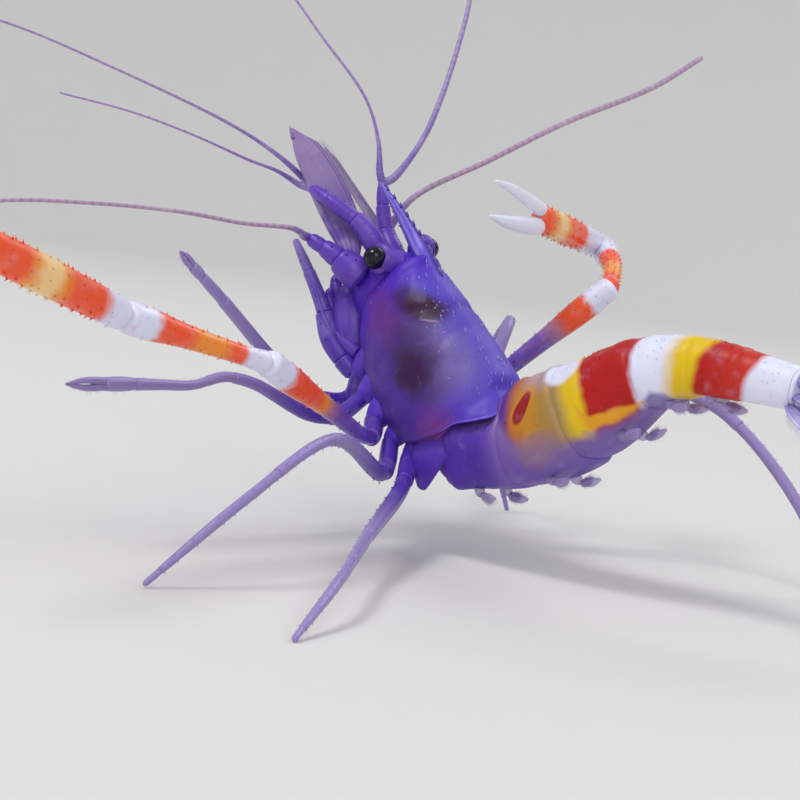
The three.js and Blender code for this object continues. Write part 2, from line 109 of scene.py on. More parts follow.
def walk(start, side, segments):
    """The points of a limb: each segment has a length, a yaw and a rise."""
    points = [start]
    for length, yaw, rise in segments:
        points.append(points[-1] + length * heading(yaw, rise, side))
    return points


BODY_UP = turned(0, 0, 1)
BODY_FORWARD = turned(1, 0, 0)
BODY_LEFT = turned(0, 1, 0)

# ---- curves and profiles ----


class Path:
    """A smooth path through points, read by its share of the whole length."""

    def __init__(self, points, fine=60):
        p = [np.array(q, float) for q in points]
        p = [2 * p[0] - p[1]] + p + [2 * p[-1] - p[-2]]
        spans = [self.span(*p[i:i + 4], fine) for i in range(len(p) - 3)]
        self.points = np.vstack(spans + [p[-2][None]])
        steps = np.linalg.norm(np.diff(self.points, axis=0), axis=1)
        self.reach = np.concatenate([[0], np.cumsum(steps)])
        self.length = self.reach[-1]

    @staticmethod
    def span(p0, p1, p2, p3, fine):
        """One centripetal Catmull-Rom span from p1 to p2."""
        d0, d1, d2 = (math.sqrt(np.linalg.norm(b - a)) for a, b in ((p0, p1), (p1, p2), (p2, p3)))
        m1 = ((p1 - p0) / d0 - (p2 - p0) / (d0 + d1) + (p2 - p1) / d1) * d1
        m2 = ((p2 - p1) / d1 - (p3 - p1) / (d1 + d2) + (p3 - p2) / d2) * d1
        t = np.linspace(0, 1, fine, endpoint=False)[:, None]
        c2 = -3 * p1 + 3 * p2 - 2 * m1 - m2
        c3 = 2 * p1 - 2 * p2 + m1 + m2
        return p1 + m1 * t + c2 * t**2 + c3 * t**3

    def at(self, t):
        """Points at shares of the length. Past either end the path runs straight on."""
        reach = np.asarray(t, float) * self.length
        inside = np.stack([np.interp(reach, self.reach, self.points[:, k]) for k in range(3)], -1)
        first, last = unit(self.points[1] - self.points[0]), unit(self.points[-1] - self.points[-2])
        before = np.minimum(reach, 0)[..., None] * first
        beyond = np.maximum(reach - self.length, 0)[..., None] * last
        return inside + before + beyond

    def along(self, t):
        """The path's directions at shares of its length."""
        step = 0.004
        d = self.at(np.asarray(t) + step) - self.at(np.asarray(t) - step)
        return d / np.linalg.norm(d, axis=-1, keepdims=True)

    def part(self, start, end):
        """The stretch between two shares of the length, as a path of its own."""
        return Path(self.at(np.linspace(start, end, 9)), 12)


def body_path(points, side=1):
    """A path through points forward, left and up from the orbit. Side -1 mirrors it."""
    return Path([on_body(forward, side * left, up) for forward, left, up in points])


def profile(values, t):
    """A smooth curve through evenly spaced values, read at t from 0 to 1."""
    v = np.asarray(values, float)
    v = np.concatenate([[2 * v[0] - v[1]], v, [2 * v[-1] - v[-2]]])
    x = np.clip(np.asarray(t, float), 0, 1) * (len(v) - 3)
    i = np.minimum(x.astype(int), len(v) - 4)
    f = x - i
    a, b, c, d = v[i], v[i + 1], v[i + 2], v[i + 3]
    return b + 0.5 * f * (c - a + f * (2 * a - 5 * b + 4 * c - d + f * (3 * (b - c) + d - a)))


def ease(x, low, high):
    """0 at low and 1 at high, with a smooth rise between them."""
    t = np.clip((np.asarray(x, float) - low) / (high - low), 0, 1)
    return t * t * (3 - 2 * t)


def round_angles(sides):
    return 2 * math.pi * np.arange(sides) / sides


def squarish(turn, exponent):
    """Cosine and sine of an angle: an exponent below 1 pushes the circle out towards a square."""
    return [np.sign(v) * np.abs(v) ** exponent for v in (np.cos(turn), np.sin(turn))]


def marked(*columns):
    """Marks from three numbers or arrays, one for each direction of the mark."""
    return np.stack(np.broadcast_arrays(*columns), -1).astype(float)


# ---- meshes ----

# A thorn narrows as this power of what is left of its length.
THORN_TAPER = 0.7
# A direction whose rise is more than this is too steep to be measured against straight up.
STEEP = 0.9
# Thorns in a row stray by this share of their spacing and by this many degrees.
THORN_STRAY, ROW_STRAY = 0.25, 6
# The rounded end of a limb closes down to this share of its full area.
CAP_END = 0.0025
CAP_RINGS = 6
QUAD = 4


def ring_faces(rings, sides):
    """The quads between neighbouring rings of points."""
    faces = []
    for r in range(rings - 1):
        for i in range(sides):
            j = (i + 1) % sides
            faces.append((r * sides + i, r * sides + j, (r + 1) * sides + j, (r + 1) * sides + i))
    return faces


class Piece:
    """Collects rings, thorns and hairs into one mesh. Each point carries a mark for its material."""

    def __init__(self, name):
        self.name, self.points, self.marks, self.faces, self.count = name, [], [], [], 0

    def put(self, points, marks, faces):
        points = np.asarray(points, float).reshape(-1, 3)
        marks = np.broadcast_to(np.asarray(marks, float).reshape(-1, 3), points.shape)
        self.points.append(points)
        self.marks.append(marks)
        self.faces.extend([tuple(i + self.count for i in face) for face in faces])
        self.count += len(points)

    def skin(self, grid, marks):
        """A closed surface over rings: grid is rings by sides by 3."""
        rings, sides = grid.shape[:2]
        last = (rings - 1) * sides
        ends = [tuple(reversed(range(sides))), tuple(range(last, last + sides))]
        self.put(grid, marks, ring_faces(rings, sides) + ends)

    def sheet(self, outer, inner, marks):
        """A thin plate between two open grids of the same size, closed along its edge."""
        rows, cols = outer.shape[:2]
        n = rows * cols
        faces = []
        for r in range(rows - 1):
            for c in range(cols - 1):
                a, b = r * cols + c, r * cols + c + 1
                faces.append((a, b, b + cols, a + cols))
                faces.append((n + a, n + a + cols, n + b + cols, n + b))
        rim = list(range(cols)) + [r * cols + cols - 1 for r in range(1, rows)]
        rim += [(rows - 1) * cols + c for c in range(cols - 2, -1, -1)]
        rim += [r * cols for r in range(rows - 2, 0, -1)]
        for a, b in zip(rim, rim[1:] + rim[:1]):
            faces.append((b, a, n + a, n + b))
        self.put(np.concatenate([outer.reshape(-1, 3), inner.reshape(-1, 3)]),
                 np.concatenate([marks.reshape(-1, 3)] * 2), faces)

    def thorn(self, root, tip, radius, mark, sides=5, rings=1, bend=None):
        """A cone, or a hair when it has few sides; bend is its sideways offset halfway up."""
        along = unit(tip - root)
        u = unit(np.cross(along, UP if abs(along[2]) < STEEP else BODY_LEFT))
        v = np.cross(along, u)
        turn = round_angles(sides)
        circle = np.cos(turn)[:, None] * u + np.sin(turn)[:, None] * v
        points = []
        for share in np.arange(rings) / rings:
            middle = root + (tip - root) * share
            if bend is not None:
                middle = middle + bend * 4 * share * (1 - share)
            points.append(middle + circle * radius * (1 - share) ** THORN_TAPER)
        last = (rings - 1) * sides
        cone = [(last + i, last + (i + 1) % sides, rings * sides) for i in range(sides)]
        foot = tuple(reversed(range(sides)))
        self.put(np.vstack(points + [tip[None]]), mark, ring_faces(rings, sides) + cone + [foot])

    def tube(self, path, a, b=None, up=UP, sides=20, rings=40, power=2.0, blunt=(0.6, 0.6), mark=None,
             wave=None):
        """A limb round a path, with rounded ends.

        a and b are half-widths across and along up, blunt is how deep each end is for its width,
        mark is the first mark at the limb's start and end, and wave swells it along its length.
        """
        b = a if b is None else b
        start, stop = (0.0, path.length) if mark is None else mark
        cap = [blunt[0] * profile(a, 0.0) / path.length, blunt[1] * profile(a, 1.0) / path.length]
        swing = 1 - np.cos(np.linspace(0, math.pi / 2, CAP_RINGS))
        shaft = np.linspace(cap[0], 1 - cap[1], rings)[1:-1]
        t = np.concatenate([cap[0] * swing, shaft, 1 - cap[1] * swing[::-1]])
        near = np.minimum(t / max(cap[0], 1e-6), (1 - t) / max(cap[1], 1e-6))
        dome = np.sqrt(np.clip(1 - (1 - np.clip(near, 0, 1)) ** 2, CAP_END, 1))
        wide, tall = profile(a, t) * dome, profile(b, t) * dome
        if wave is not None:
            wide, tall = wide * wave(t), tall * wave(t)
        grid, turn = rings_round(path, t, wide, tall, up, sides, power)
        self.skin(grid, marked((start + (stop - start) * t)[:, None], np.sin(turn)[None, :], 0.0))

    def thorns(self, path, a, row_angles, spacing, length, radius, up=UP, b=None, lean=0.8,
               span=(0.08, 0.94)):
        """Rows of forward-leaning thorns along a limb."""
        b = a if b is None else b
        reach = span[1] - span[0]
        count = max(2, int(path.length * reach / spacing))
        for angle in row_angles:
            for k in range(count):
                t = span[0] + reach * (k + 0.5 + rng.uniform(-THORN_STRAY, THORN_STRAY)) / count
                theta = math.radians(angle + rng.uniform(-ROW_STRAY, ROW_STRAY))
                at = np.array([t])
                grid, _ = rings_round(path, at, profile(a, at), profile(b, at), up, 1, first=theta)
                root = grid[0, 0]
                outward = unit(root - path.at(t))
                tip = root + length * rng.uniform(0.75, 1.15) * unit(outward + lean * path.along(t))
                self.thorn(root - 0.1 * radius * outward, tip, radius, (path.length * t, 0.5, 0))

    def remark(self, mark):
        """One mark for the whole of what was put in last."""
        self.marks[-1] = np.broadcast_to(np.array(mark, float), self.marks[-1].shape)

    def build(self, material, slot, *nodes):
        """Makes the mesh, on the root body, in place of the plain nodes that are named."""
        mesh = bpy.data.meshes.new(self.name)
        mesh.from_pydata((np.vstack(self.points) * MM).tolist(), [], self.faces)
        layer = mesh.attributes.new("mark", "FLOAT_VECTOR", "POINT")
        layer.data.foreach_set("vector", np.vstack(self.marks).astype(np.float32).ravel())
        mesh.materials.append(material)
        mesh.validate()
        solid = bmesh.new()
        solid.from_mesh(mesh)
        bmesh.ops.recalc_face_normals(solid, faces=solid.faces)
        solid.to_mesh(mesh)
        solid.free()
        # The many-cornered faces that close limbs and thorns stay flat.
        corners = np.zeros(len(mesh.polygons), np.int32)
        mesh.polygons.foreach_get("loop_total", corners)
        mesh.polygons.foreach_set("use_smooth", corners <= QUAD)
        piece = bpy.data.objects.new(self.name, mesh)
        bpy.context.scene.collection.objects.link(piece)
        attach(piece, "root")
        if nodes:
            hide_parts(*nodes)


def rings_round(path, t, wide, tall, up, sides, power=2.0, first=0.0):
    """Rings of a superellipse round a path. Returns the points and each side's angle."""
    centre, along = path.at(t), path.along(t)
    v = up - along * (along @ up)[:, None]
    v /= np.linalg.norm(v, axis=1, keepdims=True)
    u = np.cross(v, along)
    turn = first + round_angles(sides)
    c, s = squarish(turn, 2 / power)
    grid = (centre[:, None] + (wide[:, None] * c)[..., None] * u[:, None]
            + (tall[:, None] * s)[..., None] * v[:, None])
    return grid, turn


# ---- materials ----


def rgb(red, green, blue):
    """A colour as seen on a screen, 0 to 255, in linear light."""
    return tuple(((c / 255 + 0.055) / 1.055) ** 2.4 if c > 10 else c / 255 / 12.92
                 for c in (red, green, blue)) + (1.0,)


class Shader:
    """Builds a procedural material layer by layer, from each point's mark and from noise."""

    def __init__(self, name, base, roughness=0.42, subsurface=0.25, coat=0.12, coat_roughness=0.2,
                 alpha=1.0, specular=0.5):
        self.material = bpy.data.materials.new(name)
        self.material.use_nodes = True
        self.tree = self.material.node_tree
        self.bsdf = self.tree.nodes["Principled BSDF"]
        settings = {
            "Roughness": roughness, "Subsurface Weight": subsurface, "Subsurface Radius": (1.0, 0.6, 0.9),
            "Subsurface Scale": 0.5 * MM, "Coat Weight": coat, "Coat Roughness": coat_roughness,
            "Alpha": alpha, "Specular IOR Level": specular,
        }
        for socket, value in settings.items():
            self.bsdf.inputs[socket].default_value = value
        first = self.node("ShaderNodeRGB")
        first.outputs[0].default_value = base
        self.colour = first.outputs[0]
        self.mark = self.node("ShaderNodeAttribute", attribute_name="mark").outputs["Vector"]
        self.x, self.y, self.z = self.node("ShaderNodeSeparateXYZ", self.mark).outputs
        where = self.node("ShaderNodeTexCoord").outputs["Object"]
        self.spot = self.vector("MULTIPLY", where, (1 / MM,) * 3)["Vector"]

    def link(self, source, target):
        if hasattr(source, "node"):
            self.tree.links.new(source, target)
        else:
            target.default_value = source

    def node(self, kind, *values, **settings):
        """A new node. The values, numbers or other nodes' outputs, fill its first inputs."""
        made = self.tree.nodes.new(kind)
        for key, value in settings.items():
            setattr(made, key, value)
        for value, socket in zip(values, made.inputs):
            self.link(value, socket)
        return made

    def math(self, operation, *values):
        return self.node("ShaderNodeMath", *values, operation=operation).outputs[0]

    def vector(self, operation, *values):
        return self.node("ShaderNodeVectorMath", *values, operation=operation).outputs

    def ease(self, value, low, high, start=0.0, stop=1.0):
        made = self.node("ShaderNodeMapRange", value, low, high, start, stop, interpolation_type="SMOOTHSTEP")
        return made.outputs[0]

    def band(self, value, low, high, soft):
        rise = self.ease(value, low - soft, low + soft)
        return self.math("MULTIPLY", rise, self.ease(value, high - soft, high + soft, 1.0, 0.0))

    def noise(self, scale, detail=3.0):
        made = self.node("ShaderNodeTexNoise", self.spot)
        made.inputs["Scale"].default_value = scale
        made.inputs["Detail"].default_value = detail
        return made.outputs[0]

    def cells(self, scale):
        made = self.node("ShaderNodeTexVoronoi", self.spot)
        made.inputs["Scale"].default_value = scale
        return made.outputs[0]

    def patch(self, reach, soft, wobble):
        """1 where reach is below 1 and 0 above it, with a soft edge that may wander."""
        if wobble:
            wander = self.math("SUBTRACT", self.noise(0.9), 0.5)
            reach = self.math("ADD", reach, self.math("MULTIPLY", wander, wobble))
        return self.ease(reach, 1 - soft, 1 + soft, 1.0, 0.0)

    def blob(self, centre, radii, soft=0.35, wobble=0.0):
        """A rounded patch in mark space: 1 inside, 0 outside."""
        offset = self.vector("SUBTRACT", self.mark, centre)["Vector"]
        share = self.vector("DIVIDE", offset, radii)["Vector"]
        return self.patch(self.vector("LENGTH", share)["Value"], soft, wobble)

    def oval(self, x, y, centre, tilt, radii, soft=0.3, wobble=0.0):
        """A tilted ellipse in two of the mark's directions: 1 inside, 0 outside."""
        c, q = math.cos(math.radians(tilt)), math.sin(math.radians(tilt))
        over, above = self.math("SUBTRACT", x, centre[0]), self.math("SUBTRACT", y, centre[1])
        squares = []
        for across, up, radius in ((c, q, radii[0]), (-q, c, radii[1])):
            first = self.math("MULTIPLY", over, across / radius)
            share = self.math("ADD", first, self.math("MULTIPLY", above, up / radius))
            squares.append(self.math("MULTIPLY", share, share))
        return self.patch(self.math("SQRT", self.math("ADD", *squares)), soft, wobble)

    def paint(self, mask, colour, amount=None):
        """Lays a colour over the skin where the mask is 1, as strongly as the amount says."""
        if amount is not None:
            mask = self.math("MULTIPLY", mask, amount)
        made = self.node("ShaderNodeMix", mask, data_type="RGBA")
        self.link(self.colour, made.inputs[6])
        self.link(colour, made.inputs[7])
        self.colour = made.outputs[2]

    def mottle(self, amount, scale, dark, light):
        """Fine variation of tone over the whole surface."""
        noise = self.noise(scale, 4.0)
        self.paint(self.ease(noise, 0.35, 0.0), dark, amount)
        self.paint(self.ease(noise, 0.55, 0.85), light, amount)

    def ramp(self, value, low, high, bands):
        """The colour along a value. Each band is a colour and the one or two places where it is pure."""
        share = self.node("ShaderNodeMapRange", value, low, high).outputs[0]
        made = self.node("ShaderNodeValToRGB", share)
        elements = made.color_ramp.elements
        while len(elements) > 1:
            elements.remove(elements[0])
        stops = [((at - low) / (high - low), colour) for colour, *places in bands for at in places]
        for i, (position, colour) in enumerate(stops):
            element = elements[0] if i == 0 else elements.new(position)
            element.position = position
            element.color = colour
        return made.outputs[0]

    def curve(self, value, low, high, stops):
        """A number along a value, from (place, number) stops with numbers from -2 to 2."""
        greys = [(((number + 2) / 4,) * 3 + (1.0,), at) for at, number in stops]
        return self.math("MULTIPLY_ADD", self.ramp(value, low, high, greys), 4.0, -2.0)

    def bump(self, strength, scale, cells=False):
        made = self.node("ShaderNodeBump")
        made.inputs["Strength"].default_value = strength
        made.inputs["Distance"].default_value = 0.05 * MM
        self.link(self.cells(scale) if cells else self.noise(scale), made.inputs["Height"])
        self.link(made.outputs[0], self.bsdf.inputs["Normal"])

    def done(self):
        self.link(self.colour, self.bsdf.inputs["Base Color"])
        return self.material


# Colours of the shell, by name.
VIOLET = rgb(84, 48, 152)
BRIGHT_VIOLET = rgb(78, 36, 188)
DEEP_VIOLET = rgb(52, 26, 112)
BLUE_VIOLET = rgb(86, 74, 198)
LILAC = rgb(122, 98, 186)
PALE_LILAC = rgb(170, 150, 214)
GREY_LILAC = rgb(120, 106, 166)
MAGENTA = rgb(104, 34, 124)
PURPLE = rgb(88, 38, 140)
SHELL_VIOLET = rgb(80, 42, 152)
PINKISH = rgb(178, 120, 152)
WHITE = rgb(226, 228, 248)
COOL_WHITE = rgb(186, 190, 240)
ORANGE_RED = rgb(248, 82, 8)
RED = rgb(180, 6, 2)
ORANGE = rgb(248, 146, 34)
CREAM = rgb(250, 206, 140)
YELLOW = rgb(228, 190, 2)


# The shell's thorns are marked as this far forward, which their paint looks for.
THORN_MARK = 40.0


def head_skin(name, base):
    """The carapace or the body under it, marked by forward, out and up from the orbit."""
    s = Shader(name, base, roughness=0.5, subsurface=0.16, coat=0.04, specular=0.32)
    f, u = s.x, s.z
    # Bluer along the back and in front, and darker low on the side.
    s.paint(s.ease(u, -2.6, 0.0), BLUE_VIOLET, 0.75)
    s.paint(s.ease(u, -4.6, -7.2), rgb(74, 34, 138), 0.7)
    s.paint(s.ease(f, -3.4, -0.4), BRIGHT_VIOLET, 0.9)
    # Greyer behind the middle, then blue and pink areas near the margin, and a blue lower edge. The pink area
    # low by the margin is also painted lighter than its own colour: painted light against the shadow that the
    # margin casts there.
    s.paint(s.blob((-7.8, 2.9, -1.2), (3.2, 2.0, 2.0), 0.6, 0.9), GREY_LILAC, 0.7)
    s.paint(s.blob((-11.6, 2.0, -2.2), (1.6, 3.0, 2.4), 0.7, 0.4), rgb(80, 52, 190), 0.75)
    s.paint(s.blob((-11.4, 3.2, -4.4), (1.6, 1.8, 1.3), 0.8, 0.6), rgb(132, 62, 142), 0.75)
    s.paint(s.ease(u, -7.0, -8.4), rgb(98, 64, 204), 0.8)
    # Organs that show through: the large one in the flank, the cheek, and the stomach under the back.
    s.paint(s.blob((-6.3, 3.0, -2.9), (2.9, 2.2, 1.9), 0.45, 1.0), rgb(66, 36, 96), 0.75)
    s.paint(s.blob((-6.9, 3.2, -3.3), (1.5, 1.8, 1.2), 0.6, 0.9), rgb(50, 2, 60), 0.92)
    s.paint(s.blob((-1.9, 2.6, -3.4), (1.9, 1.8, 1.3), 0.8, 0.6), MAGENTA, 0.7)
    s.paint(s.oval(f, u, (-3.4, -1.1), -23, (2.1, 0.85), 0.35, 0.3), rgb(56, 12, 84), 0.85)
    s.paint(s.oval(f, u, (-3.9, -0.85), -23, (1.35, 0.62), 0.3, 0.3), rgb(50, 0, 46), 0.97)
    # Pale specks and a pale streak behind the stomach.
    specks = s.ease(s.cells(2.4), 0.17, 0.1)
    s.paint(s.math("MULTIPLY", s.blob((-5.2, 2.2, -0.4), (1.6, 1.4, 0.9), 0.3), specks), PALE_LILAC, 0.8)
    s.paint(s.oval(f, u, (-4.9, -0.9), 139, (0.55, 0.06), 0.6), rgb(180, 140, 200), 0.5)
    s.mottle(0.4, 1.1, DEEP_VIOLET, LILAC)
    s.paint(s.ease(s.cells(3.2), 0.26, 0.1), rgb(52, 24, 130), 0.25)
    # The thorns are painted pale all over: painted light that offsets the shade on their thin cones.
    s.paint(s.ease(f, THORN_MARK / 2, THORN_MARK), PALE_LILAC)
    s.bump(0.3, 5.0)
    return s.done()


VEIN = 0.03


def plain_skin(name, base, dark, light, roughness=0.42, alpha=1.0, wave=0.0, fade=None, lines=()):
    """A marbled limb. wave rings it every so many millimetres, and fade is its colour further out.

    lines are the places across a blade, from -1 to 1, of dark veins along it.
    """
    s = Shader(name, base, roughness=roughness, alpha=alpha)
    if fade is not None:
        start, stop, far = fade
        s.paint(s.ease(s.x, start, stop), far, 0.9)
    s.mottle(0.5, 1.4, dark, light)
    if wave:
        turn = s.math("SINE", s.math("MULTIPLY", s.x, 2 * math.pi / wave))
        s.paint(s.ease(turn, 0.2, 0.9), dark, 0.45)
    s.paint(s.ease(s.noise(0.45), 0.5, 0.7), light, 0.4)
    for at in lines:
        s.paint(s.band(s.y, at - VEIN, at + VEIN, VEIN), DEEP_VIOLET, 0.75)
    s.bump(0.2, 6.0)
    return s.done()


def banded_skin(name, length, bands):
    """A limb banded along its length, its band edges a little ragged."""
    s = Shader(name, WHITE, roughness=0.34, subsurface=0.3)
    ragged = s.math("MULTIPLY", 0.7, s.math("SUBTRACT", s.noise(1.6), 0.5))
    s.colour = s.ramp(s.math("ADD", s.x, ragged), 0.0, length, bands)
    s.paint(s.ease(s.noise(0.9, 4.0), 0.45, 0.8), WHITE, 0.14)
    s.paint(s.ease(s.noise(1.3, 4.0), 0.5, 0.2), rgb(196, 60, 20), 0.25)
    s.bump(0.2, 6.0)
    return s.done()


# Bands of the tail's back: a colour and the one or two places along it, in millimetres, where it is pure.
SADDLES = [
    (VIOLET, -1.0), (rgb(96, 50, 150), 4.2), (rgb(170, 92, 60), 5.0), (rgb(202, 138, 24), 6.0),
    (rgb(178, 132, 46), 7.2), (rgb(166, 136, 84), 8.4), (YELLOW, 9.3, 10.0), (RED, 10.4, 13.4),
    (WHITE, 13.75, 15.3), (YELLOW, 16.3, 17.3), (RED, 17.8), (rgb(200, 44, 24), 20.5), (WHITE, 20.9, 24.0),
]
# How far down the side the bands reach, and above it the lower edge of the red one: place along the
# tail, then height from -1 at the belly to 1 at the back.
SADDLE_EDGE = [
    (3.4, 0.5), (4.6, -0.05), (5.4, -0.28), (7.0, -0.46), (9.0, -0.58), (10.4, -0.68), (12.0, -0.82),
    (13.6, -0.8), (14.4, -0.55), (15.4, -0.75), (16.4, -1.4),
]
RED_EDGE = [(9.6, 0.0), (10.0, -0.3), (11.0, -0.47), (12.2, -0.6), (13.4, -0.72)]
SADDLE_END = 24.0
# The red spot on the back: place along the tail and height, on a scale that makes it round.
SPOT = (6.05, 0.93)
HEIGHT_SCALE = 3.1


def abdomen_skin():
    """The tail's saddles of colour, marked by distance along it, height round it and distance out."""
    s = Shader("abdomen_skin", rgb(86, 48, 168), roughness=0.46, subsurface=0.3, coat=0.04, specular=0.35)
    wander = s.math("SUBTRACT", s.noise(0.8, 2.0), 0.5)
    height = s.math("MULTIPLY_ADD", wander, 0.22, s.y)
    leaning = s.math("MULTIPLY_ADD", s.y, -0.45, s.math("MULTIPLY_ADD", wander, 0.5, s.x))
    s.paint(s.band(s.x, 5.2, 8.2, 0.8), rgb(136, 104, 168), 0.6)
    s.paint(s.ease(height, -0.55, -0.95), rgb(92, 66, 170), 0.7)
    # A lighter lilac band near the front of the tail: its own lilac, painted lighter as painted light against
    # the shadow under the carapace's margin.
    s.paint(s.band(s.x, 3.2, 5.0, 0.8), rgb(138, 104, 186), 0.7)
    saddle = s.ramp(leaning, -1.0, SADDLE_END, SADDLES)
    over = s.math("SUBTRACT", height, s.curve(s.x, 0.0, SADDLE_END, SADDLE_EDGE))
    s.paint(s.ease(over, -0.6, -0.1), rgb(134, 104, 166), 0.75)
    s.paint(s.ease(over, -0.14, 0.14), saddle)
    # A yellow border between the red saddle and the violet side.
    over_red = s.math("SUBTRACT", height, s.curve(s.x, 0.0, SADDLE_END, RED_EDGE))
    border = s.math("MULTIPLY", s.band(over, 0.03, 2.0, 0.06), s.ease(over_red, 0.05, -0.05))
    s.paint(s.math("MULTIPLY", border, s.band(s.x, 9.6, 13.7, 0.25)), rgb(226, 160, 22))
    # Greyish areas on the side and the back, and the white patch on the back.
    s.paint(s.blob((6.3, -0.42, 2.6), (1.5, 0.26, 3.0), 0.5, 0.5), rgb(150, 116, 142), 0.75)
    s.paint(s.blob((7.4, 0.86, 0.0), (1.4, 0.4, 4.0), 0.5, 0.3), rgb(176, 160, 190), 0.6)
    s.paint(s.blob((9.15, 0.73, 0.0), (1.45, 0.34, 4.0), 0.18, 0.15), rgb(224, 226, 248), 0.97)
    scaled_height = s.math("MULTIPLY", s.y, HEIGHT_SCALE)
    s.paint(s.oval(s.x, scaled_height, SPOT, 45, (1.45, 0.62), 0.3), rgb(206, 132, 14), 0.7)
    s.paint(s.oval(s.x, scaled_height, SPOT, 45, (1.02, 0.43), 0.12), rgb(150, 12, 8))
    s.paint(s.blob((14.6, -0.82, 1.5), (0.9, 0.16, 3.0), 0.4), rgb(140, 130, 176), 0.8)
    s.mottle(0.22, 1.0, rgb(96, 52, 130), COOL_WHITE)
    s.bump(0.25, 5.0)
    return s.done()


def eye_skin():
    """A glossy black globe with faint facets."""
    s = Shader("eye_skin", rgb(10, 8, 30), roughness=0.03, subsurface=0.0, coat=0.1, coat_roughness=0.02,
               specular=0.35)
    s.paint(s.ease(s.cells(24.0), 0.4, 0.1), rgb(16, 8, 30), 0.5)
    s.bump(0.03, 30.0, cells=True)
    return s.done()


HEAD = head_skin("carapace_skin", SHELL_VIOLET)
THORAX = head_skin("thorax_skin", PURPLE)
LIMB = plain_skin(
    "limb_skin", rgb(82, 46, 168), rgb(70, 44, 136), rgb(150, 130, 204), fade=(3.5, 14.0, rgb(154, 138, 190)))
STOUT = plain_skin("peduncle_skin", rgb(94, 50, 176), rgb(56, 26, 130), rgb(124, 90, 200))
FEELER = plain_skin(
    "feeler_skin", rgb(122, 96, 176), rgb(112, 90, 156), rgb(178, 160, 200), wave=0.55,
    fade=(1.0, 12.0, rgb(158, 142, 182)))
ANTENNA = plain_skin(
    "antenna_skin", rgb(124, 92, 176), rgb(134, 108, 150), rgb(214, 194, 204), wave=0.55,
    fade=(0.5, 6.0, rgb(184, 156, 178)))
BLADE = plain_skin(
    "blade_skin", rgb(100, 62, 166), rgb(94, 62, 146), rgb(188, 170, 204), alpha=0.82,
    fade=(2.0, 7.0, rgb(152, 126, 178)), lines=(-0.93, -0.76))
PADDLE = plain_skin("paddle_skin", rgb(170, 152, 208), rgb(140, 120, 186), rgb(200, 188, 224), alpha=0.55)
WHITE_SHELL = plain_skin("white_skin", rgb(232, 234, 252), rgb(206, 210, 248), rgb(246, 248, 255))
TAIL = abdomen_skin()
EYE = eye_skin()

# ---- head and thorax ----

# Share of the carapace behind the orbit, then half-width, top and bottom as shares of its length.
STATIONS = np.array([
    (-0.07, 0.08, -0.17, -0.42), (-0.04, 0.13, -0.1, -0.49), (0, 0.165, 0, -0.55),
    (0.1, 0.205, 0.012, -0.625), (0.25, 0.25, 0.02, -0.69), (0.45, 0.285, 0.022, -0.75),
    (0.65, 0.305, 0.02, -0.775), (0.85, 0.305, 0.01, -0.75), (0.95, 0.295, 0, -0.715),
    (1, 0.275, -0.025, -0.67), (1.15, 0.275, -0.03, -0.66),
])


def station(column, back):
    """A smooth reading of one column of the stations."""
    x, y = STATIONS[:, 0], STATIONS[:, column]
    slope = np.gradient(y, x)
    back = np.clip(back, x[0], x[-1])
    i = np.clip(np.searchsorted(x, back) - 1, 0, len(x) - 2)
    w = x[i + 1] - x[i]
    t = (back - x[i]) / w
    return ((1 + 2 * t) * (1 - t) ** 2 * y[i] + t * (1 - t) ** 2 * w * slope[i]
            + t * t * (3 - 2 * t) * y[i + 1] + t * t * (t - 1) * w * slope[i + 1])


SECTION_POWER = 2.25


def section(f, phi, proud=0.0):
    """A point of the thorax: f forward of the orbit, phi round from the ridge of the back."""
    back = -np.asarray(f) / CARAPACE_LENGTH
    half, top, bottom = (station(k, back) * CARAPACE_LENGTH for k in (1, 2, 3))
    theta = np.radians(90 - np.asarray(phi, float))
    c, s = squarish(theta, 2 / SECTION_POWER)
    tall = (top - bottom) / 2
    out, up = np.cos(theta) / half, np.sin(theta) / tall
    size = np.hypot(out, up)
    left = half * c + proud * out / size
    rise = (top + bottom) / 2 + tall * s + proud * up / size
    return np.asarray(f, float) + 0 * left, left, rise


# The shell's front and rear edges: forward of the orbit, from the ridge of the back round to SHELL_REACH.
SHELL_REACH = 140
SHELL_FRONT = [0.5, 0.3, 0.1, 0.2, 0.6, 0.5, -0.2, -1.2]
SHELL_REAR = [-11.3, -12.0, -12.7, -12.3, -11.5, -11.0, -10.2, -9.0]
SHELL_THICKNESS = 0.12
SHELL_PROUD = 0.1
# Grooves across the shell: forward at the ridge, how far that shifts down the side and between which
# angles, then width, depth, and the angles where the groove ends and where it is at its deepest.
GROOVES = ((-4.6, 2.3, 15, 110, 0.4, 0.07, 118, 60), (-6.3, -1.2, 20, 90, 0.35, 0.05, 100, 40))
# The shell's thorns: how many, how widely they spread round from the ridge and their limit, in degrees.
SHELL_THORNS = 110
THORN_SPREAD, THORN_LIMIT = 36, 110.0
# Spines of the front edge: angle round from the ridge, and length.
FRONT_SPINES = ((64, 0.55), (86, 0.8), (104, 0.5))


def shell_front(phi):
    return profile(SHELL_FRONT, np.abs(phi) / SHELL_REACH)


def shell_rear(phi):
    return profile(SHELL_REAR, np.abs(phi) / SHELL_REACH)


def bell(x, width):
    return np.exp(-(x / width) ** 2)


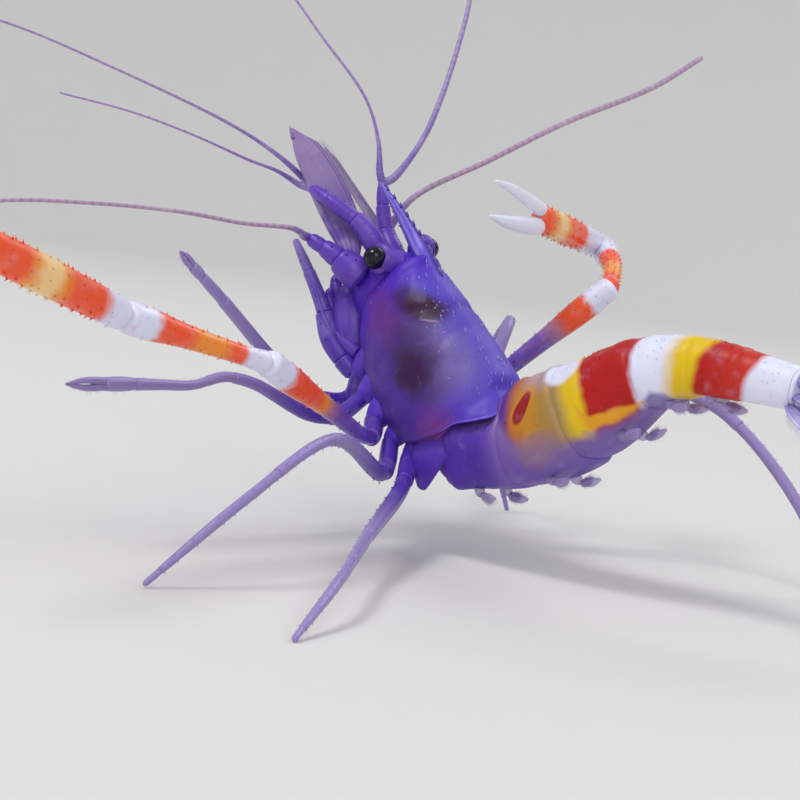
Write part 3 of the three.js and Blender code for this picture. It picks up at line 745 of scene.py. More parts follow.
def shell_relief(f, phi):
    """Height of the shell's surface over the plain thorax: grooves, swellings and the rolled margin."""
    side = np.abs(phi)
    relief = SHELL_PROUD
    for ridge, shift, first, last, width, depth, end, deepest in GROOVES:
        groove = f - (ridge + shift * ease(side, first, last))
        relief = relief - depth * bell(groove, width) * ease(side, end, deepest)
    cheek = 0.05 * bell(f + 2.6, 1.4) * bell(side - 70, 26)
    margin = f - shell_rear(phi)
    rolled = 0.06 * bell(margin - 0.14, 0.14)
    swelling = 0.32 * bell(margin, 1.3) * ease(side, 5, 30) * ease(side, 95, 60)
    uneven = 0.03 * np.sin(f * 3.1 + side * 0.07) * np.sin(side * 0.13)
    return relief + cheek + rolled + swelling + uneven


def shell_thorns(piece):
    """Short thorns lying forward, largest and closest together near the ridge."""
    for _ in range(SHELL_THORNS):
        angle = max(-THORN_LIMIT, min(THORN_LIMIT, rng.gauss(0, THORN_SPREAD)))
        where = rng.uniform(-11.0, -0.2)
        size = rng.uniform(0.09, 0.16) * (1.7 if abs(angle) < 20 else 0.9)
        relief = float(shell_relief(where, angle))
        root = section(where, angle, relief - 0.03)
        tip = section(where + size * 1.3, angle, relief + 0.75 * size)
        piece.thorn(on_body(*root), on_body(*tip), 0.042, (THORN_MARK, abs(root[1]), root[2]))


def front_spines(piece):
    for side in (-1, 1):
        for angle, size in FRONT_SPINES:
            where = float(shell_front(angle))
            root = section(where - 0.25, side * angle, 0.0)
            tip = section(where + size, side * angle, 0.12)
            piece.thorn(on_body(*root), on_body(*tip), 0.16, (0.0, abs(root[1]), root[2]), sides=8)


def carapace():
    phi = np.linspace(-SHELL_REACH, SHELL_REACH, 161)[None, :]
    share = np.linspace(0, 1, 170)[:, None]
    f = shell_front(phi) + (shell_rear(phi) - shell_front(phi)) * share
    phi = phi + 0 * f
    relief = shell_relief(f, phi)
    outer = section(f, phi, relief)
    inner = section(f, phi, relief - SHELL_THICKNESS)
    piece = Piece("carapace_shell")
    piece.sheet(on_body(*outer), on_body(*inner), marked(outer[0], np.abs(outer[1]), outer[2]))
    shell_thorns(piece)
    front_spines(piece)
    piece.build(HEAD, "shell_violet", "carapace")


MARGIN_REACH = 96


def margin():
    """The rolled edge along the back of the carapace, a little bluer than the shell."""
    phi = np.linspace(-MARGIN_REACH, MARGIN_REACH, 60)
    forward = shell_rear(phi) + 0.06
    edge = section(forward, phi, shell_relief(forward, phi) - 0.03)
    piece = Piece("carapace_margin")
    piece.tube(Path(on_body(*edge), 3), [0.04, 0.07, 0.08, 0.08, 0.08, 0.07, 0.04], rings=220, sides=10)
    piece.build(plain_skin("margin_skin", rgb(112, 82, 222), VIOLET, rgb(146, 124, 230)), "shell_violet")


# Leg bases: distance behind the orbit, out from the midline and below it, and radius.
LEG_BASES = [
    (2.8, 1.5, 7.9, 0.5), (4.5, 1.7, 8.5, 0.55), (6.3, 1.8, 8.7, 0.75), (8.2, 1.8, 8.5, 0.6),
    (9.9, 1.7, 8.0, 0.6),
]
# Half-widths of a leg's first segment across and along the body, for a leg of radius 1, and the least
# radius for which it is made.
COXA_WIDTH = (1.2, 1.2, 1.12, 1.0, 0.72)
COXA_DEPTH = (1.5, 1.5, 1.42, 1.2, 0.8)
LEAST_COXA = 0.62


def leg_base(number, side):
    back, out, down, _ = LEG_BASES[number - 1]
    return on_body(-back, side * out, -down)


def coxa(piece, number, side):
    """The first segment of a leg, half sunk in the thorax."""
    back, out, down, radius = LEG_BASES[number - 1]
    foot = leg_base(number, side)
    top = foot + 2.6 * BODY_UP - 0.3 * side * BODY_LEFT
    path = Path([top, foot + 1.2 * BODY_UP, foot - 0.25 * BODY_UP])
    radius = max(radius, LEAST_COXA)
    piece.tube(path, [radius * x for x in COXA_WIDTH], [radius * x for x in COXA_DEPTH],
               up=BODY_FORWARD, sides=28, rings=30)
    piece.remark((-back, out, -down))


def lobe(piece, side):
    """The plate behind the last leg that closes the thorax towards the tail."""
    path = body_path([(-10.8, 2.3, -4.6), (-11.35, 2.4, -6.6), (-12.3, 2.1, -8.3)], side)
    piece.tube(path, [1.2, 1.35, 1.3, 1.1, 0.75, 0.28], [0.3, 0.4, 0.42, 0.36, 0.28, 0.15],
               up=BODY_LEFT, sides=32, rings=50)
    piece.remark((-11.8, 2.2, -7.9))


THORAX_FRONT, THORAX_REAR = 0.77, -11.2
THORAX_SUNK = 0.16
FOLD_DEPTH, FOLD_PITCH = 0.05, 1.8


def thorax():
    """The soft body under the shell, folded low on its sides, with the legs' first segments."""
    phi = np.linspace(-180, 180, 96, endpoint=False)[None, :]
    f = np.linspace(THORAX_FRONT, THORAX_REAR, 90)[:, None]
    folds = FOLD_DEPTH * np.sin(f * 2 * math.pi / FOLD_PITCH) * ease(np.abs(phi), 90, 140)
    body = section(f, phi + 0 * f, folds - THORAX_SUNK)
    piece = Piece("thorax_body")
    piece.skin(on_body(*body), marked(body[0], np.abs(body[1]), body[2]))
    for side in (-1, 1):
        for number in range(1, len(LEG_BASES) + 1):
            coxa(piece, number, side)
        lobe(piece, side)
    piece.build(THORAX, "shell_violet")


# Forward, half-width, top and bottom of the block that carries the eyes, antennules and antennae.
FACE = np.array([
    (-0.8, 1.6, -0.3, -6.2), (0.4, 1.75, -0.45, -6.2), (1.1, 1.8, -0.85, -5.9), (1.7, 1.6, -1.2, -5.4),
    (2.2, 1.25, -1.6, -4.9), (2.6, 0.8, -2.1, -4.3), (2.75, 0.3, -2.6, -3.7),
])
FACE_CORNERS = 0.8


def head_block():
    rings, sides = 60, 60
    share = np.linspace(0, 1, rings)
    forward, half, top, bottom = (profile(FACE[:, k], share)[:, None] for k in range(4))
    c, q = squarish(round_angles(sides), FACE_CORNERS)
    left = half * c
    rise = (top + bottom) / 2 + (top - bottom) / 2 * q
    piece = Piece("head_block")
    piece.skin(on_body(forward, left, rise), marked(forward, np.abs(left), rise))
    piece.build(THORAX, "shell_violet")


# The rostrum's half-height and half-width, evenly spaced from root to tip.
ROSTRUM_HEIGHT = [0.12, 0.4, 0.68, 0.56, 0.42, 0.28, 0.06]
ROSTRUM_WIDTH = [0.2, 0.5, 0.6, 0.38, 0.26, 0.18, 0.07]
# How many teeth the rostrum has above, and where along it those below are.
TEETH_ABOVE = 10
TEETH_BELOW = (0.62, 0.74, 0.85)


def rostrum_skin():
    s = Shader("rostrum_skin", rgb(96, 70, 200))
    edge = s.math("ABSOLUTE", s.y)
    s.paint(s.ease(edge, 0.45, 0.1), rgb(156, 138, 222), 0.75)
    s.paint(s.ease(edge, 0.75, 0.98), DEEP_VIOLET, 0.7)
    s.mottle(0.4, 2.0, DEEP_VIOLET, PALE_LILAC)
    s.bump(0.25, 6.0)
    return s.done()


def rostrum():
    path = body_path([(-3.0, 0, 0.0), (-1.0, 0, 0.0), (1.0, 0, 0.08), (3.4, 0, 0.3), (6.3, 0, 0.45)])
    piece = Piece("rostrum_blade")
    piece.tube(path, ROSTRUM_WIDTH, ROSTRUM_HEIGHT, up=BODY_UP, sides=28, rings=110, power=1.55,
               blunt=(0.3, 0.8))
    for k in range(TEETH_ABOVE):
        t = 0.1 + 0.8 * k / (TEETH_ABOVE - 1)
        root = path.at(t) + BODY_UP * (float(profile(ROSTRUM_HEIGHT, t)) - 0.08)
        length = 0.52 * (1 - 0.3 * k / TEETH_ABOVE)
        tip = root + length * unit(BODY_FORWARD + 0.62 * BODY_UP)
        piece.thorn(root, tip, 0.13, (t * path.length, 1, 0), sides=8, rings=3)
    for t in TEETH_BELOW:
        root = path.at(t) - BODY_UP * (float(profile(ROSTRUM_HEIGHT, t)) - 0.06)
        tip = root + 0.34 * unit(BODY_FORWARD - 0.5 * BODY_UP)
        piece.thorn(root, tip, 0.09, (t * path.length, -1, 0), sides=8)
    piece.build(rostrum_skin(), "shell_violet", "rostrum")


EYE_RADIUS = 0.74
# How far round from where it looks the globe reaches before the stalk's cup hides it.
GLOBE_REACH = math.radians(118)
CUP_RADIUS = 0.88
CUP_SPINES = 16


def eyes():
    """The globes on their stalks, each in a cup with a ring of fine spines."""
    for name, side in SIDES.items():
        centre = on_body(*EYES[name])
        root = on_body(0.5, side * 0.5, -1.2)
        look = unit(0.4 * unit(centre - root) + side * BODY_LEFT + 0.1 * BODY_UP)
        u = unit(np.cross(look, UP))
        v = np.cross(look, u)
        rim = centre - 0.1 * look
        stalk = Piece(f"eyestalk_{name}_skin")
        path = Path([root, (root + centre) / 2 - 0.1 * BODY_UP, centre - 0.62 * look, rim])
        stalk.tube(path, [0.85, 0.75, 0.72, 0.82, 0.97, 0.94], sides=32, rings=48, blunt=(0.4, 0.3))
        for turn in round_angles(CUP_SPINES):
            out = u * math.cos(turn) + v * math.sin(turn)
            base = rim - 0.1 * look + CUP_RADIUS * out
            stalk.thorn(base, base + 0.13 * unit(out + look), 0.035, (0, 0, 0))
        stalk.build(STOUT, "shell_violet", f"eyestalk_{name}")

        lat = np.linspace(0.04, GLOBE_REACH, 30)[:, None, None]
        lon = round_angles(48)[None, :, None]
        around = np.cos(lon) * u + np.sin(lon) * v
        globe = Piece(f"eye_{name}_cornea")
        grid = centre + EYE_RADIUS * (np.cos(lat) * look + np.sin(lat) * around)
        globe.skin(grid[::-1], (0, 0, 0))
        globe.build(EYE, "eye_black", f"eye_{name}")


# ---- limbs ----


COLLAR = 1.03
# A segment of a limb starts this many half-widths inside the one before.
OVERLAP = 0.3


def jointed(piece, path, a, joints, sides=20, density=9, mark=None, last_blunt=0.9, waist=0.92):
    """A limb in segments: each starts a little narrow, at its waist, and ends in a slight collar."""
    edges = [0.0] + list(joints) + [1.0]
    start, stop = (0.0, path.length) if mark is None else mark
    t = np.linspace(0, 1, 13)
    for i, (t0, t1) in enumerate(zip(edges, edges[1:])):
        final = i == len(edges) - 2
        shape = waist + (1 - waist) * ease(t, 0, 0.45)
        if not final:
            shape = shape + (COLLAR - 1) * ease(t, 0.8, 0.95)
        inside = OVERLAP * float(profile(a, t0)) / path.length if i else 0
        segment = path.part(t0 - inside, t1)
        piece.tube(segment, profile(a, t0 + (t1 - t0) * t) * shape, sides=sides,
                   rings=max(14, int(segment.length * density)), blunt=(0.3, last_blunt if final else 0.35),
                   mark=(start + (stop - start) * t0, start + (stop - start) * t1))


def bristle(piece, root, way, length, spread, sizes, radius, bend, mark=(0, 0, 0)):
    """A fine hair that strays from its way, and bows towards bend, or along its stray without one."""
    stray = spread * np.array([rng.uniform(-1, 1) for _ in range(3)])
    tip = root + length * rng.uniform(*sizes) * unit(way + stray)
    bend = 0.06 * length * stray if bend is None else 0.05 * length * bend
    piece.thorn(root, tip, radius, mark, sides=3, rings=2, bend=bend)


def hairs(piece, path, count, length, way, spread=0.35, radius=0.014, span=(0.05, 0.95), offset=0.0):
    """A fringe of fine bristles along a path."""
    for k in range(count):
        t = span[0] + (span[1] - span[0]) * (k + rng.random()) / count
        bristle(piece, path.at(t) + offset * way, way, length, spread, (0.7, 1.1), radius, None)


# Points of the stout bases of the antennules and antennae, forward, left and up from the orbit.
ANTENNULES = {
    "left": [(1.75, 0.75, -2.2), (3.9, 1.75, -1.5), (6.2, 2.9, -1.75), (8.3, 2.75, -2.55)],
    "right": [(1.75, -0.7, -2.2), (3.8, -0.8, -1.9), (5.4, -0.95, -1.1), (6.9, -1.2, -0.2)],
}
ANTENNAE = {
    "left": [(1.3, 1.75, -3.7), (3.4, 2.9, -3.75), (5.4, 3.6, -4.25)],
    "right": [(1.3, -1.75, -3.7), (3.4, -2.8, -3.8), (5.4, -3.3, -3.9)],
}
# Points of the whips beyond those bases: back, right and up from the floor below the orbit.
FLAGELLA = {
    "antennule_outer_left": [(-9.2, -2.2, 22.1), (-10, -4.1, 23.4), (-11.3, -6.9, 24.8), (-14.6, -13.7, 27.1),
                             (-17.6, -21.4, 29), (-17.8, -26.9, 28.9)],
    "antennule_inner_left": [(-8.8, -2.9, 21.7), (-9, -5.1, 22.4), (-9.6, -7, 22.8), (-10.8, -10.7, 23.8),
                             (-11.5, -15.3, 24.6), (-11.8, -20.8, 25)],
    "antennule_outer_right": [(-5.6, 1.0, 23.2), (-6.3, 1.2, 25.3), (-8, 1.3, 28), (-11.6, 0.1, 31.8),
                              (-15, -1.1, 35.3), (-19.7, -3.4, 38.9)],
    "antennule_inner_right": [(-5, 1.75, 23), (-4.8, 3.8, 25.7), (-5.1, 5.4, 28.4), (-6, 7.9, 33.8),
                              (-7.3, 10, 38.8)],
    "antenna_left": [(-6.8, -4.1, 18.5), (-5.6, -5.7, 18.7), (-4.9, -7.4, 18.9), (-5.5, -10.7, 18.8),
                     (-6.3, -15.3, 19), (-7.4, -21.6, 18.8), (-8.5, -26.6, 18.3), (-9.4, -31.6, 16.9),
                     (-10.6, -35.5, 14.6)],
    "antenna_right": [(-6.4, 3.5, 19.6), (-5.4, 4.2, 21.8), (-2.7, 8.5, 25.1), (-0.5, 13.4, 28.4),
                      (1.3, 20.7, 32), (1.9, 25.5, 34.9)],
}
# The whips' radii, evenly spaced from root to tip.
FEELER_WIDTHS = {
    "antennule_outer_left": [0.3, 0.14, 0.1, 0.08, 0.075, 0.07, 0.06],
    "antennule_inner_left": [0.3, 0.13, 0.09, 0.07, 0.065, 0.06, 0.055],
    "antennule_outer_right": [0.3, 0.12, 0.1, 0.09, 0.08, 0.08, 0.07],
    "antennule_inner_right": [0.3, 0.2, 0.19, 0.18, 0.17, 0.16, 0.15],
    "antenna_left": [0.3, 0.15, 0.13, 0.115, 0.105, 0.1, 0.09],
    "antenna_right": [0.3, 0.19, 0.18, 0.18, 0.19, 0.19, 0.18],
}
RING_PITCH = 0.34
RING_HEIGHT, RING_SHARPNESS = 0.07, 0.6
RINGS_PER_SPINE = 2


def feelers():
    """The ringed whips of the antennules and antennae, with a pair of fine spines at every other ring."""
    for name, points in FLAGELLA.items():
        side = name.rsplit("_", 1)[1]
        thick = name.startswith("antenna_")
        before, last = (on_body(*p) for p in (ANTENNAE if thick else ANTENNULES)[side][-2:])
        path = Path([last - 0.5 * unit(last - before), last] + [place(*p) for p in points])
        count = path.length / RING_PITCH

        def ringed(t, count=count):
            return 1 + RING_HEIGHT * np.abs(np.sin(math.pi * count * t)) ** RING_SHARPNESS

        piece = Piece(f"{name}_skin")
        width = FEELER_WIDTHS[name]
        piece.tube(path, width, sides=10, rings=int(count * 6), wave=ringed, blunt=(0.8, 1.0))
        for k in range(int(count / RINGS_PER_SPINE)):
            t = (k + 0.5) * RINGS_PER_SPINE / count
            for _ in range(2):
                way = unit(np.array([rng.uniform(-1, 1) for _ in range(3)]))
                along = path.along(t)
                way = unit(way - along * (way @ along) + 0.5 * along)
                base = path.at(t) + 0.8 * float(profile(width, t)) * way
                tip = base + rng.uniform(0.12, 0.2) * way
                piece.thorn(base, tip, 0.014, (t * path.length, 0, 0), sides=3)
        piece.build(ANTENNA if thick else FEELER, "feeler_cream" if thick else "limb_lilac", name)


# Points of the leaf beside each antenna, forward, left and up from the orbit, and its tilt.
SCALES = {
    "left": [(2.6, 2.2, -3.1), (4.65, 1.85, -2.6), (7.5, 2.1, -1.85), (12.4, 3, -1.1)],
    "right": [(2.6, -2.3, -2.9), (6.9, -2, -2.85), (12.7, -1.4, -2.4)],
}
SCALE_TILT = math.radians(40)
SCALE_OUTER = [0.4, 1.0, 1.25, 1.25, 1.05, 0.75, 0.1]
SCALE_INNER = [0.4, 0.95, 1.15, 1.22, 1.22, 1.05, 0.45]
# Ribs of a blade: place across it from -1 to 1, width and height.
SCALE_RIBS = ((0.86, 0.14, 0.12), (0.45, 0.07, 0.03), (0.1, 0.07, 0.04), (-0.3, 0.07, 0.03))
# The stout bases: points, half-widths and joints, then their thorns' rows, spacing, length and radius.
PEDUNCLES = {
    "antennule": (
        ANTENNULES, [0.72, 0.72, 0.62, 0.5, 0.44, 0.34], (0.45, 0.74), (20, 90, 160), 0.7, 0.2, 0.05),
    "antenna": (ANTENNAE, [1.12, 1.08, 0.78, 0.54, 0.44], (0.48, 0.74), (40, 140, 220), 0.8, 0.24, 0.06),
}
# A blade's thickness at its edge and how deeply it cups, as shares of its thickness and half-width.
EDGE_THICKNESS = 0.35
CUPPING = 0.12
# A fringe starts this far along its blade, runs over this share of it and leans forward by this much.
FRINGE_START, FRINGE_REACH, FRINGE_LEAN = 0.12, 0.86, 0.9


def blade(piece, path, across, outer, inner, thickness, ribs=(), rows=70, cols=25, oblique=0.0):
    """A thin ribbed leaf: outer and inner are its half-widths on the two sides of its path.

    oblique is the share of its length by which the inner side ends short. Returns the leaf's middle
    surface, and the directions across and along it.
    """
    t = np.linspace(0, 1, rows)[:, None]
    v = np.linspace(-1, 1, cols)[None, :]
    s = t * (1 - oblique * np.clip(-v, 0, 1) ** 1.5 * ease(t, 0.3, 1))
    along = path.along(s)
    w = across - along * (along @ across)[..., None]
    w /= np.linalg.norm(w, axis=-1, keepdims=True)
    normal = np.cross(along, w)
    half = np.where(v > 0, profile(outer, s), profile(inner, s))
    middle = path.at(s) + w * (half * v)[..., None]
    thick = thickness * (1 - (1 - EDGE_THICKNESS) * np.abs(v) ** 4) * np.ones_like(s)
    for at, width, height in ribs:
        thick = thick + height * bell(v - at, width) * ease(1 - t, 0.0, 0.2)
    cup = CUPPING * profile(outer, s) * v * v
    piece.sheet(middle + normal * (thick - cup)[..., None], middle - normal * (thick + cup)[..., None],
                marked(s * path.length, v, 0.0))
    return middle, w, along


def fringe(piece, leaf, column, sign, count, length, mark, radius=0.013):
    """Bristles along one edge column of a blade."""
    middle, w, along = leaf
    rows = len(middle)
    for k in range(count):
        share = FRINGE_START + FRINGE_REACH * (k + rng.random()) / count
        r = int(np.clip(share * rows, 0, rows - 1))
        way = unit(sign * w[r, column] + FRINGE_LEAN * along[r, column])
        bristle(piece, middle[r, column], way, length, 0.12, (0.75, 1.05), radius, along[r, column], mark)


def peduncle(kind, name):
    points, width, joints, rows, spacing, length, radius = PEDUNCLES[kind]
    path = body_path(points[name])
    piece = Piece(f"{kind}_peduncle_{name}_skin")
    jointed(piece, path, width, joints, sides=28, density=12, waist=0.88)
    piece.thorns(path, width, rows, spacing, length, radius)
    piece.build(STOUT, "shell_violet", f"{kind}_peduncle_{name}")


def scale(name, side):
    """The leaf beside an antenna, fringed along its inner edge, with a spine at its outer corner."""
    path = body_path(SCALES[name])
    across = side * BODY_LEFT * math.cos(SCALE_TILT) - BODY_UP * math.sin(SCALE_TILT)
    piece = Piece(f"scaphocerite_{name}_skin")
    leaf = blade(piece, path, across, SCALE_OUTER, SCALE_INNER, 0.07, SCALE_RIBS, oblique=0.16)
    fringe(piece, leaf, 0, -1, 110, 0.75, (9, 0.2, 0), radius=0.011)
    w, along = leaf[1][-1, -1], leaf[2][-1, -1]
    tip = path.at(1.0) + 0.05 * w + 0.3 * along
    piece.thorn(path.at(0.93) + 0.3 * w, tip, 0.16, (9, 1, 0), sides=8, rings=2)
    piece.build(BLADE, "limb_lilac", f"scaphocerite_{name}")


def antennae():
    for name, side in SIDES.items():
        for kind in PEDUNCLES:
            peduncle(kind, name)
        scale(name, side)


# Tips of the small feeding limbs round the mouth, forward, left and up.
PALPS = ((3.2, 0.5, -5.9), (2.6, 0.9, -6.6), (1.6, 1.15, -7.2))
MAXILLIPED = [(-2.6, 1.3, -8.5), (0.2, 1.95, -8.1), (2.1, 2.1, -7.2), (4.6, 2.4, -6.4), (7, 2.5, -5.9)]
MAXILLIPED_WIDTH = [0.6, 0.72, 0.62, 0.46, 0.38, 0.22]
EXOPOD = [(-0.9, 1.7, -8.0), (1.0, 2.6, -7.2), (3.4, 2.9, -6.2)]


def mouth():
    piece = Piece("mouthparts_skin")
    path = body_path([(3, 0, -5.6), (0.7, 0, -6.9), (-1.6, 0, -8)])
    piece.tube(path, [1.0, 1.7, 2.0, 1.9, 1.4], [0.8, 1.4, 1.6, 1.45, 1.0], up=BODY_UP, sides=36, rings=60)
    for side in (-1, 1):
        for f, l, u in PALPS:
            curl = body_path([(f - 3.4, l + 0.1, u - 0.2), (f - 1.2, l + 0.45, u - 0.5),
                              (f + 0.4, l + 0.3, u - 0.1), (f + 0.1, l - 0.1, u + 0.5)], side)
            jointed(piece, curl, [0.5, 0.54, 0.44, 0.24], (0.45, 0.78), sides=18)
            hairs(piece, curl, 24, 0.45, BODY_FORWARD - 0.3 * BODY_UP, span=(0.4, 1.0))
    piece.build(STOUT, "shell_violet", "mouthparts")


def maxillipeds():
    for name, side in SIDES.items():
        path = body_path(MAXILLIPED, side)
        piece = Piece(f"maxilliped_{name}_skin")
        jointed(piece, path, MAXILLIPED_WIDTH, (0.14, 0.47, 0.76))
        inwards = -side * BODY_LEFT - 0.5 * BODY_UP + 0.4 * BODY_FORWARD
        hairs(piece, path, 130, 0.75, inwards, span=(0.2, 0.99), offset=0.25)
        piece.thorns(path, MAXILLIPED_WIDTH, (0, 180), 0.8, 0.22, 0.05)
        piece.tube(body_path(EXOPOD, side), [0.16, 0.13, 0.1, 0.05], sides=10, rings=60)
        piece.build(LIMB, "limb_lilac", f"maxilliped_{name}")


# Small pincered legs by number: segments, each a length, a yaw and a rise, then half-widths of the leg,
# its palm and a finger.
PINCER_LEGS = {
    1: {
        "left": [(2.7, -19, -55), (5, 86, 17), (7.8, 87, 35), (2.3, 88, 35), (2.3, 89, 35)],
        "right": [(8, 70, -6), (7, 40, 14), (1.9, 30, 20), (1.9, 30, 20)],
        "half": [0.5, 0.46, 0.43, 0.42, 0.4, 0.35, 0.24],
        "palm": [0.26, 0.34, 0.35, 0.3],
        "finger": 0.3,
    },
    2: {
        "left": [(3.2, 86, -27), (8.6, 87, 16), (2, 84, -16), (6, 94, -1), (5, 94, -1)],
        "right": [(3.2, 80, -27), (8.6, 62, 12), (2, 56, -16), (6, 46, -4), (5, 42, -4)],
        "half": [0.56, 0.5, 0.42, 0.36, 0.31, 0.33, 0.4, 0.26],
        "palm": [0.34, 0.42, 0.43, 0.38],
        "finger": 0.38,
    },
}


# Where the palm ends and the fingers start, as shares of a small claw's length, and how far they part.
PALM_END, FINGER_START = 0.45, 0.42
SMALL_GAPE = 0.02


def claw_tip(piece, path, start, width, mark):
    """Two slender fingers from a share of the path to its end, slightly open."""
    tip, root = path.at(1.0), path.at(start)
    grip = unit(tip - root)
    spread = unit(np.cross(np.cross(grip, UP), grip))
    for sign in (1, -1):
        finger = Path([root + sign * 0.4 * width * spread,
                       (root + tip) / 2 + sign * (0.5 * width + SMALL_GAPE) * spread,
                       tip + sign * 0.35 * SMALL_GAPE * spread])
        piece.tube(finger, [width * x for x in (0.6, 0.55, 0.4, 0.16)], sides=12, rings=36, blunt=(0.4, 0.8),
                   mark=mark)


def pincers():
    for number, spec in PINCER_LEGS.items():
        for name, side in SIDES.items():
            steps = spec[name]
            path = Path(walk(leg_base(number, side), side, steps))
            total = sum(length for length, _, _ in steps)
            ends = np.cumsum([length for length, _, _ in steps]) / total
            hand = ends[-2]
            arm = path.part(0, hand)
            width = [profile(spec["half"], t * hand) for t in np.linspace(0, 1, 9)]
            claw = (total * hand, total)
            piece = Piece(f"leg_{number}_{name}_skin")
            jointed(piece, arm, width, [float(e / hand) for e in ends[:-2]], sides=16,
                    mark=(0, total * hand), waist=0.93)
            palm = path.part(hand - 0.01, hand + PALM_END * (1 - hand))
            piece.tube(palm, spec["palm"], sides=16, rings=24, mark=claw)
            claw_tip(piece, path, hand + FINGER_START * (1 - hand), spec["finger"], claw)
            hairs(piece, path, 40, 0.35, UP, spread=1.2, radius=0.013, span=(0.5, 0.97), offset=0.2)
            hairs(piece, path, 26, 0.5, -UP, spread=1.0, radius=0.013, span=(hand, 0.99), offset=0.2)
            piece.build(LIMB, "limb_lilac", f"leg_{number}_{name}")


# The great claws' segments and their lengths, then each segment's yaw and rise and how far the carpus bows.
CLAW_ARM = {"ischium": 3, "merus": 13, "carpus": 11, "palm": 12, "finger": 8}
CLAW_POSES = {
    "left": {"ischium": (135, -22), "merus": (99.4, 21.8), "carpus": (90, 11), "palm": (104, 14.7),
             "finger": (114, 9.3), "bow": 0},
    "right": {"ischium": (112, 15.7), "merus": (144, 46), "carpus": (50, 14.3), "palm": (-104.5, 5.9),
              "finger": (-106, 4.7), "bow": 0.5},
}
# Bands of the claws' segments: the coloured length, then each band's colour and the one or two places,
# in millimetres from the segment's root, where it is pure.
CLAW_BANDS = {
    "arm_left": (16.0, [
        (VIOLET, 0), (rgb(104, 74, 190), 5.0), (rgb(122, 84, 176), 8.2), (PINKISH, 9.2), (ORANGE, 10.0),
        (ORANGE_RED, 11.0, 13.7), (WHITE, 14.3, 16)]),
    "arm_right": (16.0, [
        (VIOLET, 0), (rgb(104, 74, 190), 5.0), (rgb(122, 84, 176), 10.4), (PINKISH, 11.6),
        (ORANGE_RED, 12.4, 14.0), (WHITE, 14.5, 16)]),
    "carpus_left": (11.0, [
        (WHITE, 0, 1.8), (ORANGE_RED, 2.3, 3.1), (ORANGE, 3.9, 5.7), (ORANGE_RED, 6.7, 8.7),
        (WHITE, 9.3, 11)]),
    "carpus_right": (11.0, [
        (ORANGE_RED, 0, 1.7), (ORANGE, 2.5, 4.6), (ORANGE_RED, 5.5, 7.2), (WHITE, 7.9, 11)]),
    "palm_left": (12.0, [
        (WHITE, 0, 1.8), (ORANGE_RED, 2.8, 5.4), (ORANGE, 6.2), (CREAM, 6.8, 7.9), (ORANGE, 8.7),
        (ORANGE_RED, 9.4, 11.6), (rgb(236, 150, 110), 12)]),
    "palm_right": (12.0, [
        (WHITE, 0, 4.3), (ORANGE_RED, 5.0, 7.2), (ORANGE, 8.0), (CREAM, 8.6, 9.4), (ORANGE, 10.2),
        (ORANGE_RED, 10.9, 11.7), (rgb(240, 170, 150), 12)]),
}
CLAW_SKINS = {part: banded_skin(f"claw_{part}_skin", *bands) for part, bands in CLAW_BANDS.items()}
# How far each finger's tip stands off the claw's axis, how deep a segment's end sits in the next one,
# and how far past the joint that next one starts.
FINGER_GAPE = 1.08
SOCKET = 0.4
JOINT_GAP = 0.2
ARM_WIDTH = [0.72, 0.54, 0.52, 0.57, 0.66, 0.84, 0.8]
CARPUS_WIDTH = [0.7, 0.57, 0.58, 0.63, 0.72, 0.88, 0.88]
PALM_TALL = [0.86, 0.9, 0.94, 0.97, 0.96, 0.9]
PALM_DEEP = [0.74, 0.76, 0.8, 0.82, 0.78, 0.7]
# Half-widths of the upper finger, 1, and the lower, -1.
FINGERS = {1: [0.46, 0.46, 0.4, 0.33, 0.23, 0.08], -1: [0.52, 0.58, 0.52, 0.42, 0.3, 0.09]}
FINGER_TEETH = 12
# The direction in which a carpus bows out, as a yaw and a rise.
BOW = (139, 7)


def claw_arm(name, base, knee, wrist):
    bend = base * 0.05 + knee * 0.9 + wrist * 0.05
    path = Path([base, bend, (knee + wrist) / 2, wrist + SOCKET * unit(wrist - knee)])
    piece = Piece(f"leg_3_{name}_arm_skin")
    jointed(piece, path, ARM_WIDTH, (0.19,), sides=28, density=8, last_blunt=0.5)
    piece.thorns(path, ARM_WIDTH, (30, 75, 120, 165, 230, 310), 0.95, 0.22, 0.055, span=(0.3, 0.96))
    piece.build(CLAW_SKINS[f"arm_{name}"], "shell_orange", f"leg_3_{name}_arm")


def claw_carpus(name, wrist, middle, hand):
    path = Path([wrist + (hand - wrist) * JOINT_GAP / CLAW_ARM["carpus"], middle,
                 hand + 0.6 * SOCKET * unit(hand - wrist)])
    piece = Piece(f"leg_3_{name}_carpus_skin")
    piece.tube(path, CARPUS_WIDTH, sides=30, rings=90, blunt=(0.5, 0.45))
    piece.thorns(path, CARPUS_WIDTH, (10, 55, 100, 145, 190, 240, 300), 0.95, 0.24, 0.06)
    piece.build(CLAW_SKINS[f"carpus_{name}"], "shell_orange", f"leg_3_{name}_carpus")


def claw_palm(name, hand, knuckle, flat):
    path = Path([hand + unit(knuckle - hand) * JOINT_GAP, (hand + knuckle) / 2, knuckle])
    piece = Piece(f"leg_3_{name}_palm_skin")
    piece.tube(path, PALM_TALL, PALM_DEEP, up=flat, sides=36, rings=100, blunt=(0.5, 0.5))
    piece.thorns(path, PALM_TALL, (0, 30, 150, 180, 210, 330), 0.95, 0.26, 0.065, up=flat, b=PALM_DEEP)
    piece.thorns(path, PALM_TALL, (70, 110, 250, 290), 1.4, 0.18, 0.05, up=flat, b=PALM_DEEP)
    piece.build(CLAW_SKINS[f"palm_{name}"], "shell_orange", f"leg_3_{name}_palm")


